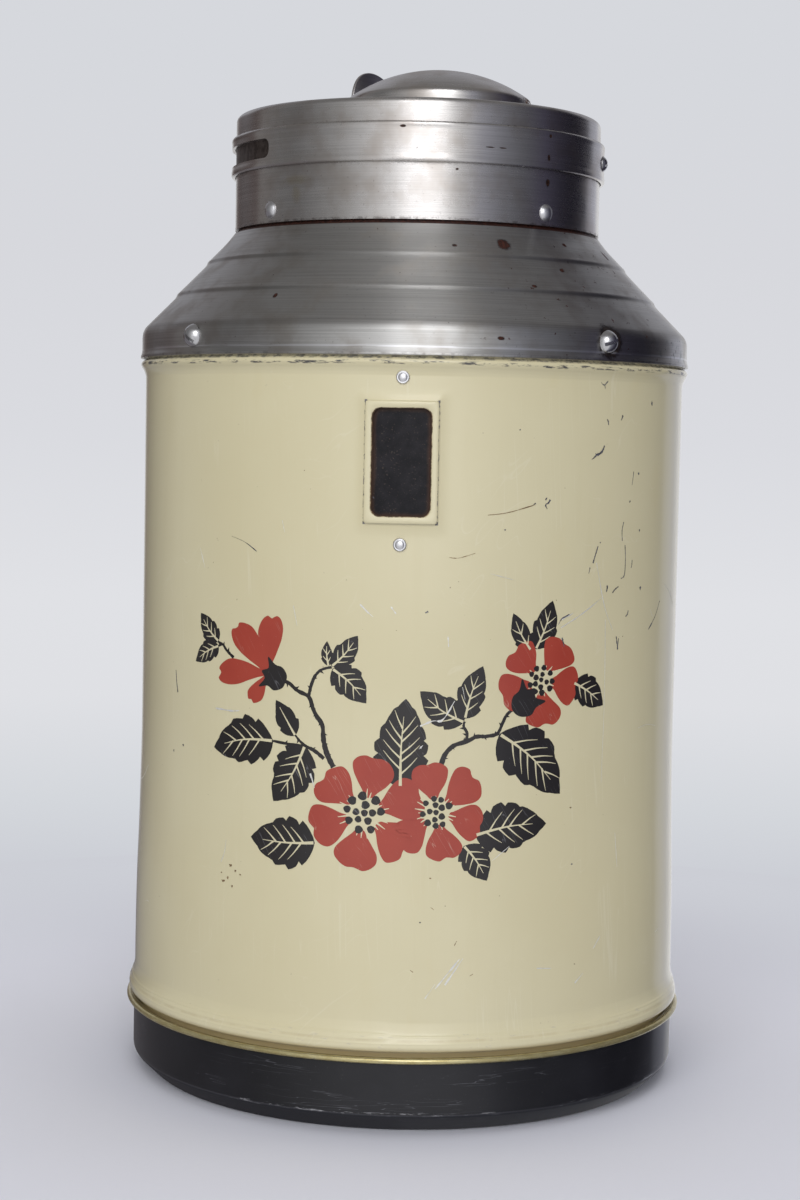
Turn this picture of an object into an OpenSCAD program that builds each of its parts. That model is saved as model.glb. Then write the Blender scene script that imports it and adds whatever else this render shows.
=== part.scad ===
// Measuring canister dispenser for a dry drink: sheet-metal canister with a pull-off
// base lid, a stepped cone shoulder, a rotary measuring drum in the neck and a domed
// flap over the outlet. Millimetres. +Z up, origin at the centre of the foot.
// Azimuth 0 is the front (-Y) and grows towards +X, so rotate([0,0,a]) turns the
// front to azimuth a.

/* [Canister] */
// Outside radius of the canister wall
body_r = 73.2; // [70:0.1:76]
// Thickness of all the pressed sheet
wall = 0.8; // [0.6:0.1:0.9]
// Height of the canister's top edge, under the shoulder skirt
body_top_z = 199.9; // [199.5:0.1:200]
// Height of the canister's lower edge, inside the base lid
body_low_z = 5.9; // [5.6:0.1:8]
// How far the wall flares out towards its foot
flare = 1.1; // [0.9:0.05:1.2]
// How far the lower bead stands out of the flared wall
bead_out = 1.5; // [1.2:0.05:1.6]

/* [Base lid] */
// Gap between the canister and the lid's wall
lid_gap = 0.35; // [0.3:0.05:0.6]
// Thickness of the lid's sheet
lid_wall = 0.5; // [0.4:0.1:0.8]
// Height of the lid's wall below its curled rim
lid_h = 18; // [16:0.5:18]
// Radius of the lid's curled rim
curl_r = 0.85; // [0.8:0.05:1.0]
// Outside radius of the flat foot ring
foot_r = 69; // [68:0.5:71]

/* [Shoulder] */
// Height of the shoulder skirt's lower edge
skirt_z = 193; // [192:0.5:194]
// Diameter of the skirt's round-head screws
screw_d = 6; // [5:0.1:6.5]
// Azimuth of the front left skirt screw
screw_az = -49.3; // [-60:0.1:-40]

/* [Neck] */
// Outside radius of the neck cup
neck_r = 49.5; // [49.3:0.1:49.6]
// Height of the top of the neck cup
neck_top_z = 258.6; // [258.2:0.1:259]
// Head diameter of the neck rivets
neck_rivet_d = 4.5; // [3.6:0.1:4.8]
// Azimuth of the front left neck rivet
neck_rivet_az = -50.4; // [-58:0.1:-44]

/* [Turning ring] */
// Gap between the neck and the turning ring
ring_gap = 0.3; // [0.3:0.05:0.5]
// Height of the ring's lower edge
ring_z = 242.3; // [242:0.1:242.9]
// Height of the ring
ring_h = 10.1; // [9.6:0.1:10.3]
// Height of the slot cut in the ring
slot_h = 5; // [4.4:0.1:5.6]
// How far the ring turns from fill to dispense, in degrees
turn_deg = 85; // [60:1:85]

/* [Measuring drum] */
// Radius of the measuring pocket and of the inlet and outlet holes
pocket_r = 9.5; // [7:0.1:9.5]
// Distance of the pocket from the spindle
pocket_at = 17.5; // [16:0.1:18]
// Radius of the spindle
spindle_r = 3; // [2.5:0.1:3.2]
// Running clearance of the drum on its spindle
run_gap = 0.05; // [0.03:0.01:0.1]

/* [Window] */
// Azimuth of the window
win_az = -2.1; // [-5:0.1:5]
// Width of the raised window frame
win_w = 18.1; // [17:0.1:20]
// Height of the raised window frame
win_h = 30.1; // [29:0.1:32]
// Width of the metal round the window opening
win_rim = 1.9; // [1.4:0.1:2.2]
// How far the frame stands out of the wall
win_out = 1.2; // [0.8:0.1:1.4]

/* [Outlet flap] */
// How far the flap's centre stands to the right of the neck's axis
dome_x = 5.5; // [4:0.1:6]
// Outside radius of the flap
dome_r = 25.0; // [24.5:0.1:25.6]
// Radius of the sphere that the crown is part of
crown_r = 42.8; // [40:0.1:46]
// Azimuth of the thumb tab about the flap's centre; the hinge is opposite
tab_az = -131; // [-140:1:-125]
// Radius of the round thumb tab
tab_r = 9.6; // [9:0.1:9.8]
// How far the flap opens, in degrees
flap_deg = 105; // [60:1:105]

/* [Hidden] */
$fn = 96;
eps = 0.01;

cream = [0.83, 0.79, 0.60];
steel = [0.50, 0.49, 0.48];
bright = [0.80, 0.80, 0.81];
black = [0.06, 0.06, 0.07];

body_ri = body_r - wall;
flare_r = body_r + flare;
spigot_r = body_r + 0.45;
bead_r = flare_r + bead_out;
lid_ri = spigot_r + lid_gap;
lid_ro = lid_ri + lid_wall;
skirt_ri = body_r + 0.2;
skirt_ro = skirt_ri + wall;
screw_z = 197.7;
neck_low_z = 228.0;
neck_ri = neck_r - wall;
flange_ro = neck_ri - 0.2;
flange_ri = flange_ro - wall;
pan_ro = flange_ri - 0.1;
pan_ri = pan_ro - wall;
pan_z = 237.4;
rivet_z = 231.3;
ring_ri = neck_r + ring_gap;
ring_ro = ring_ri + wall;
slot_z = ring_z + ring_h / 2 - 0.15;
slot_a2 = -50.0;
pin_head_r = 2;
pin_half = asin(pin_head_r / ring_ri);
slot_a1 = slot_a2 - turn_deg - 2 * (pin_half + 0.6);
pin_az = slot_a1 + pin_half + 0.6;
drive_az = 79;
drum_r = neck_ri - 0.5;
drum_z1 = 238.6;
drum_z2 = neck_top_z - wall - 0.4;
fill_az = 90 + turn_deg;
win_z = 166.9;
win_hole_w = win_w - 2 * win_rim;
win_hole_h = win_h - 2 * win_rim;
hinge_az = tab_az + 180;
hinge_d = dome_r + 2;
hinge_z = neck_top_z + 1.6;
pin_r = 0.8;
knuckle_r = 1.4;
crown_z = 264.3;
crown_c = crown_z - sqrt(crown_r * crown_r - dome_r * dome_r);

// Puts children on a radius at azimuth a, with their +Z pointing outward
module radial(a, z, r = 0) rotate([0, 0, a]) translate([0, -r, z]) rotate([90, 0, 0]) children();

// Part of a ring between two azimuths
module sector(r1, r2, z1, z2, a1, a2)
    rotate([0, 0, a1 - 90]) rotate_extrude(angle = a2 - a1) translate([r1, z1]) square([r2 - r1, z2 - z1]);

module ring(r1, r2, z1, z2) rotate_extrude() translate([r1, z1]) square([r2 - r1, z2 - z1]);

// Rectangle with round corners, centred, cut from exact shapes
module round_rect(w, h, r) {
    square([w - 2 * r, h], center = true);
    square([w, h - 2 * r], center = true);
    for (x = [-1, 1], y = [-1, 1]) translate([x * (w / 2 - r), y * (h / 2 - r)]) circle(r);
}

// Low round head: part of a sphere, flat below, of diameter d and height h
module round_head(d, h) {
    s = (d * d / 4 + h * h) / (2 * h);
    intersection() {
        translate([0, 0, h - s]) sphere(s);
        cylinder(r = d, h = h + 1);
    }
}

module slotted_head(d, h, turn) difference() {
    round_head(d, h);
    rotate([0, 0, turn]) translate([-d, -d * 0.07, h * 0.5]) cube([2 * d, d * 0.14, h]);
}

// ---- canister ----

module body_profile() {
    b = body_r;
    f = flare;
    polygon([
        [spigot_r - wall, body_low_z], [spigot_r, body_low_z],
        [spigot_r, 20.9], [bead_r - 1.0, 21.1], [bead_r - 0.35, 21.4], [bead_r - 0.08, 21.9],
        [bead_r, 22.5], [bead_r - 0.08, 23.2], [flare_r + bead_out * 0.72, 24.3],
        [flare_r + bead_out * 0.42, 25.3], [flare_r + bead_out * 0.15, 26.8], [flare_r, 28.8],
        [b + f * 0.91, 43], [b + f * 0.74, 54.5], [b + f * 0.42, 66], [b + f * 0.22, 77], [b, 95],
        [b, 187.9], [b + 0.15, 188.7], [b + 0.55, 189.7], [b + 1.05, 190.6], [b + 1.3, 191.3], [b + 1.1, 192.0],
        [b + 0.4, 192.5], [b, 192.7], [b, body_top_z],
        [b - wall, body_top_z], [b - wall, 192.2], [b + 0.3, 191.7], [b + 0.45, 191.3], [b + 0.25, 190.8],
        [b - 0.25, 189.9], [b - 0.65, 188.9], [b - wall, 188.0],
        [b - wall, 95], [b + f * 0.22 - wall, 77], [b + f * 0.42 - wall, 66], [b + f * 0.74 - wall, 54.5],
        [b + f * 0.91 - wall, 43], [flare_r - wall, 28.4], [flare_r - 0.55, 26.4], [bead_r - 1.3, 24.2],
        [bead_r - 0.85, 23.0], [bead_r - 0.85, 22.4], [bead_r - 1.3, 22.0], [spigot_r - wall, 21.65]
    ]);
}

module body_shell() color(cream) difference() {
    union() {
        rotate_extrude() body_profile();
        // raised window frame, pressed out of the wall
        rotate([0, 0, win_az]) intersection() {
            ring(body_ri, body_r + win_out, win_z - win_h / 2, win_z + win_h / 2);
            translate([-win_w / 2, -body_r - 5, win_z - win_h / 2]) cube([win_w, 20, win_h]);
        }
    }
    // window opening
    radial(win_az, win_z, body_r - 6) linear_extrude(12) round_rect(win_hole_w, win_hole_h, 2.1);
    // rivet holes above and below the window
    for (z = [146.8, 187.6]) radial(win_az, z, body_r - 6) cylinder(r = 1.05, h = 12);
    // flat seat of the upper rivet's head, where the bead starts
    radial(win_az, 187.6, body_r + 0.03) cylinder(r = 1.8, h = 4);
    // screw holes under the skirt
    for (i = [0:3]) radial(screw_az + 90 * i, screw_z, body_r - 6) cylinder(r = 1.55, h = 12);
}

module window_pane() color([0.08, 0.08, 0.1]) rotate([0, 0, win_az]) intersection() {
    ring(body_ri - 1.0, body_ri - 0.05, 151.4, 183.2);
    translate([-9.6, -body_r - 5, 151.4]) cube([19.2, 20, 31.8]);
}

// Pressed strap that holds the pane from behind, with a riveted pad at each end
module window_retainer() color(steel) rotate([0, 0, win_az]) difference() {
    union() {
        intersection() {
            ring(body_ri - 1.8, body_ri - 1.05, 143.2, 191.2);
            translate([-10.5, -body_r - 5, 143.2]) cube([21, 20, 48]);
        }
        for (z = [143.2, 184.6]) intersection() {
            ring(body_ri - 1.8, body_ri - 0.05, z, z + (z < 150 ? 6.6 : 1.9));
            translate([-10.5, -body_r - 5, z]) cube([21, 20, 12]);
        }
    }
    radial(0, win_z, body_r - 8) linear_extrude(12) round_rect(win_hole_w, win_hole_h, 2.1);
    for (z = [146.8, 187.6]) radial(0, z, body_r - 8) cylinder(r = 1.05, h = 12);
}

module window_rivets() color(bright) for (z = [146.8, 187.6]) {
    radial(win_az, z, body_r + 0.03) difference() {
        round_head(3.4, 0.9);
        translate([0, 0, 0.45]) cylinder(r = 0.55, h = 2);
    }
    radial(win_az, z, body_r - 2.62) cylinder(r = 1.0, h = 2.66);
    radial(win_az, z, body_r - 3.3) cylinder(r = 1.7, h = 0.69);
}

// ---- shoulder ----

module shoulder_profile() {
    o = skirt_ro;
    polygon([
        // outside, from the skirt's lip up to the flange inside the neck
        [o + 0.4, skirt_z], [o + 0.4, skirt_z + 0.5], [o + 0.1, skirt_z + 1.4], [o, skirt_z + 2.2],
        [o, 198.9], [o - 0.2, 200.0], [o - 0.8, 201.2],
        [65.8, 208.9], [65.3, 209.5], [64.9, 210.5], [64.3, 211.0],
        [57.8, 217.6], [57.2, 218.3], [56.8, 219.3], [56.2, 219.8],
        [52.0, 224.1], [50.4, 226.1], [49.6, 227.2], [flange_ro + 0.2, 227.6], [flange_ro, 227.9],
        [flange_ro, 237.0], [flange_ri, 237.0], [flange_ri, 227.6],
        // inside, down again
        [flange_ri + 0.3, 227.1], [flange_ri + 1.6, 225.9], [51.4, 223.4], [55.6, 219.1],
        [56.2, 218.6], [56.6, 217.7], [57.2, 217.0], [63.7, 210.3], [64.3, 209.8], [64.7, 208.9], [65.2, 208.2],
        [o - 1.6, 200.9], [o - 0.95, 200.1], [o - wall, 199.2],
        [o - wall, skirt_z + 2.0], [o - 0.55, skirt_z + 1.0], [o - 0.4, skirt_z + 0.3], [o - 0.4, skirt_z]
    ]);
}

module shoulder_cone() color(steel) difference() {
    rotate_extrude() shoulder_profile();
    for (i = [0:3]) {
        radial(screw_az + 90 * i, screw_z, body_r - 3) cylinder(r = 1.55, h = 8);
        radial(neck_rivet_az + [0, 92.5, 181.9, 271.9][i], rivet_z, neck_r - 6) cylinder(r = 1.25, h = 8);
    }
}

module shoulder_screws() color(bright) for (i = [0:3])
    radial(screw_az + 90 * i, screw_z, skirt_ro) {
        slotted_head(screw_d, 2.3, [-42, 18, 60, -10][i]);
        translate([0, 0, -7.2]) cylinder(r = 1.5, h = 7.21);
    }

module shoulder_nuts() color(steel) for (i = [0:3])
    radial(screw_az + 90 * i, screw_z, body_ri - 2.55) difference() {
        rotate([0, 0, 30]) cylinder(r = 3.0, h = 2.4, $fn = 6);
        translate([0, 0, -1]) cylinder(r = 1.52, h = 5);
    }

// ---- neck ----

module neck_cup() color(steel) difference() {
    rotate_extrude() {
        polygon([
            [neck_ri, neck_low_z], [neck_r, neck_low_z],
            [neck_r, neck_top_z - 1.6], [neck_r - 0.12, neck_top_z - 0.99], [neck_r - 0.47, neck_top_z - 0.47],
            [neck_r - 0.99, neck_top_z - 0.12], [neck_r - 1.6, neck_top_z],
            [0, neck_top_z], [0, neck_top_z - wall],
            [neck_r - 1.6, neck_top_z - wall], [neck_r - 1.29, neck_top_z - 0.86], [neck_r - 1.03, neck_top_z - 1.03],
            [neck_r - 0.86, neck_top_z - 1.29], [neck_ri, neck_top_z - 1.6]
        ]);
    }
    // outlet and spindle holes
    translate([pocket_at, 0, neck_top_z - 3]) cylinder(r = pocket_r, h = 6);
    translate([0, 0, neck_top_z - 3]) cylinder(r = spindle_r + 0.1, h = 6);
    // slot that the drive screw moves along, hidden under the ring
    sector(neck_r - 4, neck_r + 4, slot_z - 1.65, slot_z + 1.65, drive_az - turn_deg, drive_az);
    for (a = [drive_az - turn_deg, drive_az]) radial(a, slot_z, neck_r - 4) cylinder(r = 1.65, h = 8);
    for (a = [0, 92.5, 181.9, 271.9]) radial(neck_rivet_az + a, rivet_z, neck_r - 6) cylinder(r = 1.25, h = 9);
    radial(pin_az, slot_z, neck_r - 4) cylinder(r = 1.22, h = 8);
    // rivet holes of the hinge bracket
    for (s = [-4.6, 4.6]) bracket_place() translate([-4.6, s, -6]) cylinder(r = 0.62, h = 9);
}

module neck_rivets() color(bright) for (a = [0, 92.5, 181.9, 271.9]) {
    radial(neck_rivet_az + a, rivet_z, neck_r) round_head(neck_rivet_d, 1.15);
    radial(neck_rivet_az + a, rivet_z, pan_ri - 0.01) cylinder(r = 1.2, h = neck_r - pan_ri + 0.02);
    radial(neck_rivet_az + a, rivet_z, pan_ri - 0.75) cylinder(r = 1.7, h = 0.7);
}

module inlet_plate() color(steel) difference() {
    rotate_extrude() polygon([
        [0, pan_z], [pan_ri - 0.4, pan_z], [pan_ri, pan_z - 0.4], [pan_ri, 228.9],
        [pan_ro, 228.9], [pan_ro, pan_z], [pan_ro - 0.3, pan_z + 0.6], [pan_ro - 0.9, pan_z + wall], [0, pan_z + wall]
    ]);
    rotate([0, 0, fill_az]) translate([0, -pocket_at, pan_z - 3]) cylinder(r = pocket_r, h = 6);
    translate([0, 0, pan_z - 3]) cylinder(r = spindle_r + 0.1, h = 6);
    for (a = [0, 92.5, 181.9, 271.9]) radial(neck_rivet_az + a, rivet_z, pan_ri - 3) cylinder(r = 1.25, h = 6);
}

module spindle_bolt() color(bright) {
    translate([0, 0, neck_top_z + 0.02]) slotted_head(9, 1.1, 35);
    translate([0, 0, 232]) cylinder(r = spindle_r, h = neck_top_z - 232 + 0.03);
}

module spindle_washer() color(bright) translate([0, 0, pan_z - 0.95]) difference() {
    cylinder(r = 6.5, h = 0.9);
    translate([0, 0, -1]) cylinder(r = spindle_r + 0.1, h = 3);
}

module spindle_nut() color(bright) translate([0, 0, pan_z - 3.5]) difference() {
    cylinder(r = 5.6, h = 2.5, $fn = 6);
    translate([0, 0, -1]) cylinder(r = spindle_r + 0.02, h = 5);
}

module drum_washer() color("tan") translate([0, 0, pan_z + wall + 0.02]) difference() {
    cylinder(r = 6.5, h = 0.3);
    translate([0, 0, -1]) cylinder(r = spindle_r + 0.1, h = 3);
}

module stop_pin() color(bright) {
    radial(pin_az, slot_z, neck_r + 0.02) round_head(2 * pin_head_r, 1.5);
    radial(pin_az, slot_z, neck_ri - 0.02) cylinder(r = 1.2, h = wall + 0.05);
}

// ---- outlet ----

module pour_rim() color(steel) translate([dome_x, 0, neck_top_z + 0.02]) rotate_extrude() polygon([
    [dome_r - 1.9, 0], [dome_r - 1.2, 0], [dome_r - 1.2, 1.5], [dome_r - 1.5, 1.8], [dome_r - 1.9, 1.8]
]);

// Frame of the hinge: +X towards the flap, Y along the pin, origin on the pin
module bracket_place()
    translate([dome_x, 0, 0]) rotate([0, 0, hinge_az]) translate([0, -hinge_d, hinge_z]) rotate([0, 0, -90]) mirror([1, 0, 0]) children();

module hinge_bracket() color(steel) bracket_place() difference() {
    union() {
        translate([-7.2, -7, -1.58]) cube([5.2, 14, 0.6]);
        for (s = [-7, 3.2]) {
            translate([-3, s, -1.58]) cube([3, 3.8, 1.58]);
            translate([0, s, 0]) rotate([-90, 0, 0]) cylinder(r = knuckle_r, h = 3.8);
        }
    }
    translate([0, -9, 0]) rotate([-90, 0, 0]) cylinder(r = pin_r + 0.02, h = 18);
    for (s = [-4.6, 4.6]) translate([-4.6, s, -6]) cylinder(r = 0.62, h = 9);
}

module bracket_rivets() color(bright) for (s = [-4.6, 4.6]) bracket_place() translate([-4.6, s, 0]) {
    translate([0, 0, -0.96]) round_head(2.2, 0.6);
    translate([0, 0, -2.4]) cylinder(r = 0.6, h = 1.45);
}

module hinge_pin() color(bright) bracket_place() {
    translate([0, -7.1, 0]) rotate([-90, 0, 0]) cylinder(r = pin_r, h = 14.2);
    for (s = [-7.7, 7.02]) translate([0, s, 0]) rotate([-90, 0, 0]) cylinder(r = 1.25, h = 0.68);
}

module flap_dome() color(steel) {
    translate([dome_x, 0, 0]) difference() {
        union() {
            ring(dome_r - 0.7, dome_r, neck_top_z + 0.6, crown_z);
            intersection() {
                translate([0, 0, crown_c]) difference() { sphere(crown_r); sphere(crown_r - 0.7); }
                translate([0, 0, crown_z - 0.9]) cylinder(r = dome_r, h = 20);
            }
        }
    }
    // leaf and knuckle of the hinge
    bracket_place() difference() {
        union() {
            rotate([-90, 0, 0]) translate([0, 0, -2.9]) cylinder(r = knuckle_r, h = 5.8);
            translate([0, -2.9, -0.35]) cube([2.45, 5.8, 0.7]);
        }
        translate([0, -9, 0]) rotate([-90, 0, 0]) cylinder(r = pin_r + run_gap, h = 18);
    }
}

// Round-topped plate that follows the flap's side
module thumb_tab() color(steel) translate([dome_x, 0, 0]) rotate([0, 0, tab_az]) intersection() {
    ring(dome_r + 0.02, dome_r + 0.8, neck_top_z + 0.9, 280);
    translate([0, -dome_r + 8, 264.6]) rotate([90, 0, 0]) cylinder(r = tab_r, h = 14);
}

module tab_rivets() color(steel) for (s = [-1, 1]) translate([dome_x, 0, 0]) {
    radial(tab_az + 9 * s, 261.8, dome_r + 0.84) round_head(2.2, 0.6);
}

// ---- moving ring and drum ----

module turning_ring() color(steel) difference() {
    rotate_extrude() polygon([
        [ring_ri, ring_z], [ring_ro - 0.15, ring_z], [ring_ro + 0.05, ring_z + 0.2], [ring_ro + 0.15, ring_z + 0.7],
        [ring_ro + 0.1, ring_z + 1.4], [ring_ro, ring_z + 2.0], [ring_ro, ring_z + ring_h - 1.3],
        [ring_ro + 0.12, ring_z + ring_h - 0.8], [ring_ro + 0.05, ring_z + ring_h - 0.3],
        [ring_ro - 0.25, ring_z + ring_h], [ring_ri, ring_z + ring_h]
    ]);
    sector(ring_ri - 2, ring_ro + 2, slot_z - slot_h / 2, slot_z + slot_h / 2, slot_a1 + 2.36, slot_a2 - 2.36);
    for (a = [slot_a1 + 2.36, slot_a2 - 2.36]) {
        for (s = [-1, 1]) radial(a, slot_z + s * (slot_h / 2 - 2.1), ring_ri - 2) cylinder(r = 2.1, h = 6);
        radial(a, slot_z, ring_ri - 2) linear_extrude(6) square([4.2, slot_h - 4.2], center = true);
    }
    radial(drive_az, slot_z, ring_ri - 2) cylinder(r = 1.32, h = 6);
}

module drive_screw() color(steel) radial(drive_az, slot_z, 0) {
    translate([0, 0, ring_ro + 0.02]) slotted_head(4.2, 1.25, 25);
    translate([0, 0, 40.5]) cylinder(r = 1.3, h = ring_ro - 40.5 + 0.03);
}

module metering_drum() color([0.32, 0.2, 0.13]) difference() {
    rotate_extrude() polygon([[0, drum_z1], [drum_r - 0.5, drum_z1], [drum_r, drum_z1 + 0.5], [drum_r, drum_z2 - 2.4],
        [drum_r - 2.4, drum_z2], [0, drum_z2]]);
    rotate([0, 0, fill_az]) translate([0, -pocket_at, drum_z1 - 2]) cylinder(r = pocket_r, h = 30);
    translate([0, 0, drum_z1 - 2]) cylinder(r = spindle_r + run_gap, h = 30);
    radial(drive_az, slot_z, 40) cylinder(r = 1.32, h = 20);
}

// ---- lid ----

module lid_profile() {
    r = lid_ro;
    polygon([
        [0, 1.6], [foot_r - 5.3, 1.6], [foot_r - 4.4, 1.0], [foot_r - 3.6, 0], [foot_r, 0],
        [foot_r + 0.6, 0.2], [r - 0.5, 4.4], [r - 0.1, 5.1], [r, 5.9],
        [r, lid_h], [lid_ri, lid_h], [lid_ri, 6.1],
        [lid_ri - 0.15, 5.4], [lid_ri - 0.5, 4.8], [foot_r + 0.1, 0.75], [foot_r - 0.3, 0.55],
        [foot_r - 3.3, 0.5], [foot_r - 4.0, 1.4], [foot_r - 5.0, 2.1], [0, 2.1]
    ]);
}

module base_lid() color(black) rotate_extrude() {
    difference() {
        union() {
            lid_profile();
            translate([lid_ro + 1.1, lid_h + 0.35 + curl_r]) circle(curl_r, $fn = 48);
            translate([lid_ri, lid_h - 1]) square([lid_wall, 2.5]);
            translate([lid_ri, lid_h + 0.95]) square([lid_wall + 1.1, 0.55]);
        }
    }
}

body_shell();
window_pane();
window_retainer();
window_rivets();
shoulder_cone();
shoulder_screws();
shoulder_nuts();
neck_cup();
neck_rivets();
inlet_plate();
spindle_bolt();
spindle_washer();
spindle_nut();
drum_washer();
stop_pin();
pour_rim();
hinge_bracket();
bracket_rivets();
hinge_pin();
turning_ring();
drive_screw();
metering_drum();
flap_dome();
thumb_tab();
tab_rivets();
base_lid();
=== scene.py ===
import math

import bmesh
import bpy
import numpy as np
from mathutils import Euler, Matrix, Vector
from mathutils.geometry import delaunay_2d_cdt


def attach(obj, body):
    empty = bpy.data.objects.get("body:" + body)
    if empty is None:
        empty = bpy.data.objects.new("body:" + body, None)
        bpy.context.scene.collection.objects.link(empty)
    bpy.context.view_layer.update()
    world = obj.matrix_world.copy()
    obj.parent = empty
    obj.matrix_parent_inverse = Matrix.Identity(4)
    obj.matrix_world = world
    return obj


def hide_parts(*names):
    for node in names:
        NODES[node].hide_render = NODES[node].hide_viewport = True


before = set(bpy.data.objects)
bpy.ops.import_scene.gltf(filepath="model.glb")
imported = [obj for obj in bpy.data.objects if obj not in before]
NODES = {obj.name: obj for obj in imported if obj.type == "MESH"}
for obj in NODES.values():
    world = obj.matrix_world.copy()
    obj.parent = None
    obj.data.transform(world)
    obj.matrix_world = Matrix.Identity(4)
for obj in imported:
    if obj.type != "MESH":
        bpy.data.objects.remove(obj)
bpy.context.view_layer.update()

MM = 0.001

# ---------------------------------------------------------------- sizes (mm)
BODY_R, WALL = 73.2, 0.8
FLARE = [(28.8, 1.1), (43, 1.0), (54.5, 0.81), (66, 0.46), (77, 0.24), (95, 0.0)]
WIN_AZ, WIN_Z = -2.1, 166.9
SKIRT_RO = 74.2
SCREW_Z, SCREW_AZ = 197.7, -49.3
NECK_R, NECK_RI, NECK_TOP = 49.5, 48.7, 258.6
RIVET_Z, RIVET_AZ = 231.3, -50.4
RIVET_TURNS = (0, 92.5, 181.9, 271.9)
RING_RI, RING_RO, RING_Z, RING_H = 49.8, 50.6, 242.3, 10.1
SLOT_Z, SLOT_H = RING_Z + RING_H / 2 - 0.15, 5.0
DRIVE_AZ, TURN = 79.0, 85.0
PIN_HALF = math.degrees(math.asin(2 / RING_RI))
SLOT_A2 = -50.0
SLOT_A1 = SLOT_A2 - TURN - 2 * (PIN_HALF + 0.6)
DOME_X, DOME_R, CROWN_R, CROWN_Z = 5.5, 25.0, 42.8, 264.3
TAB_AZ, TAB_R, TAB_Z = -131.0, 9.6, 264.6
HINGE_AZ, HINGE_D, HINGE_Z = TAB_AZ + 180, DOME_R + 2, NECK_TOP + 1.6
FOOT_R = 69.0

rng = np.random.default_rng(41)


# ---------------------------------------------------------------- mesh helpers
def cyl(az, r, z, cx=0.0):
    a = math.radians(az)
    return (cx + r * math.sin(a), -r * math.cos(a), z)


def pchip(pts, x):
    """Smooth line through (x, y) points without overshoot."""
    xs = np.array([p[0] for p in pts], float)
    ys = np.array([p[1] for p in pts], float)
    h = np.diff(xs)
    d = np.diff(ys) / h
    m = np.zeros(len(xs))
    for i in range(1, len(xs) - 1):
        if d[i - 1] * d[i] > 0:
            w1, w2 = 2 * h[i] + h[i - 1], h[i] + 2 * h[i - 1]
            m[i] = (w1 + w2) / (w1 / d[i - 1] + w2 / d[i])
    x = np.clip(np.asarray(x, float), xs[0], xs[-1])
    k = np.clip(np.searchsorted(xs, x) - 1, 0, len(h) - 1)
    t = (x - xs[k]) / h[k]
    h00, h10 = 2 * t**3 - 3 * t**2 + 1, t**3 - 2 * t**2 + t
    h01, h11 = -2 * t**3 + 3 * t**2, t**3 - t**2
    return h00 * ys[k] + h10 * h[k] * m[k] + h01 * ys[k + 1] + h11 * h[k] * m[k + 1]


def rounded(poly, rad=0.3, k=3, closed=True, keep=()):
    """Polygon with each corner replaced by a small curve."""
    out, n = [], len(poly)
    for i, p in enumerate(poly):
        if (not closed and i in (0, n - 1)) or i in keep:
            out.append(tuple(p))
            continue
        p = np.array(p, float)
        a, b = np.array(poly[i - 1], float), np.array(poly[(i + 1) % n], float)
        la, lb = np.linalg.norm(a - p), np.linalg.norm(b - p)
        r = rad[i] if isinstance(rad, (list, tuple)) else rad
        d = min(r, 0.45 * la, 0.45 * lb)
        q0, q1 = p + (a - p) / la * d, p + (b - p) / lb * d
        for j in range(k + 1):
            t = j / k
            out.append(tuple((1 - t) ** 2 * q0 + 2 * t * (1 - t) * p + t * t * q1))
    return out


def build(name, verts, faces, body, mats, replaces=(), sharp=38, matrix=None, weld=1e-6):
    me = bpy.data.meshes.new(name)
    me.from_pydata([tuple(c * MM for c in v) for v in verts], [], [tuple(int(i) for i in f) for f in faces])
    bm = bmesh.new()
    bm.from_mesh(me)
    bmesh.ops.remove_doubles(bm, verts=bm.verts, dist=weld)
    bmesh.ops.dissolve_degenerate(bm, edges=bm.edges, dist=1e-8)
    bmesh.ops.recalc_face_normals(bm, faces=bm.faces)
    bm.to_mesh(me)
    bm.free()
    if matrix is not None:
        me.transform(matrix)
    me.polygons.foreach_set("use_smooth", [True] * len(me.polygons))
    me.set_sharp_from_angle(angle=math.radians(sharp))
    ob = bpy.data.objects.new(name, me)
    bpy.context.scene.collection.objects.link(ob)
    for m in mats if isinstance(mats, (list, tuple)) else [mats]:
        me.materials.append(m)
    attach(ob, body)
    if replaces:
        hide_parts(*replaces)
    return ob


class Geo:
    """Collects closed shells in mm."""

    def __init__(self):
        self.v, self.f = [], []

    def add(self, v, f, M=None):
        o = len(self.v)
        if M is not None:
            v = [tuple(M @ Vector(p)) for p in v]
        self.v += [tuple(p) for p in v]
        self.f += [tuple(i + o for i in g) for g in f]
        return self


def lathe(profile, n=256, cx=0.0):
    """Closed profile [(r, z)...] turned round Z."""
    v, f, m = [], [], len(profile)
    for i in range(n):
        a = 360.0 * i / n
        for r, z in profile:
            v.append(cyl(a, max(r, 0.0), z, cx))
    for i in range(n):
        j = (i + 1) % n
        for k in range(m):
            l = (k + 1) % m
            if profile[k][0] <= 1e-9 and profile[l][0] <= 1e-9:
                continue
            f.append((i * m + k, j * m + k, j * m + l, i * m + l))
    return v, f


def radial_matrix(az, z, r, turn=0.0, cx=0.0):
    """Local frame on the side of a cylinder: +Z outward, +Y up."""
    a = math.radians(az)
    out = Vector((math.sin(a), -math.cos(a), 0))
    up = Vector((0, 0, 1))
    side = up.cross(out)
    M = Matrix((side, up, out)).transposed().to_4x4()
    M.translation = Vector((cx + out.x * r, out.y * r, z))
    return M @ Matrix.Rotation(math.radians(turn), 4, "Z")


def inside(poly, pts):
    x, y = pts[:, 0], pts[:, 1]
    res = np.zeros(len(pts), bool)
    p = np.asarray(poly)
    for i in range(len(p)):
        x1, y1 = p[i]
        x2, y2 = p[i - 1]
        c = (y1 > y) != (y2 > y)
        with np.errstate(divide="ignore", invalid="ignore"):
            xi = (x2 - x1) * (y - y1) / (y2 - y1) + x1
        res ^= c & (x < xi)
    return res


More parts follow.
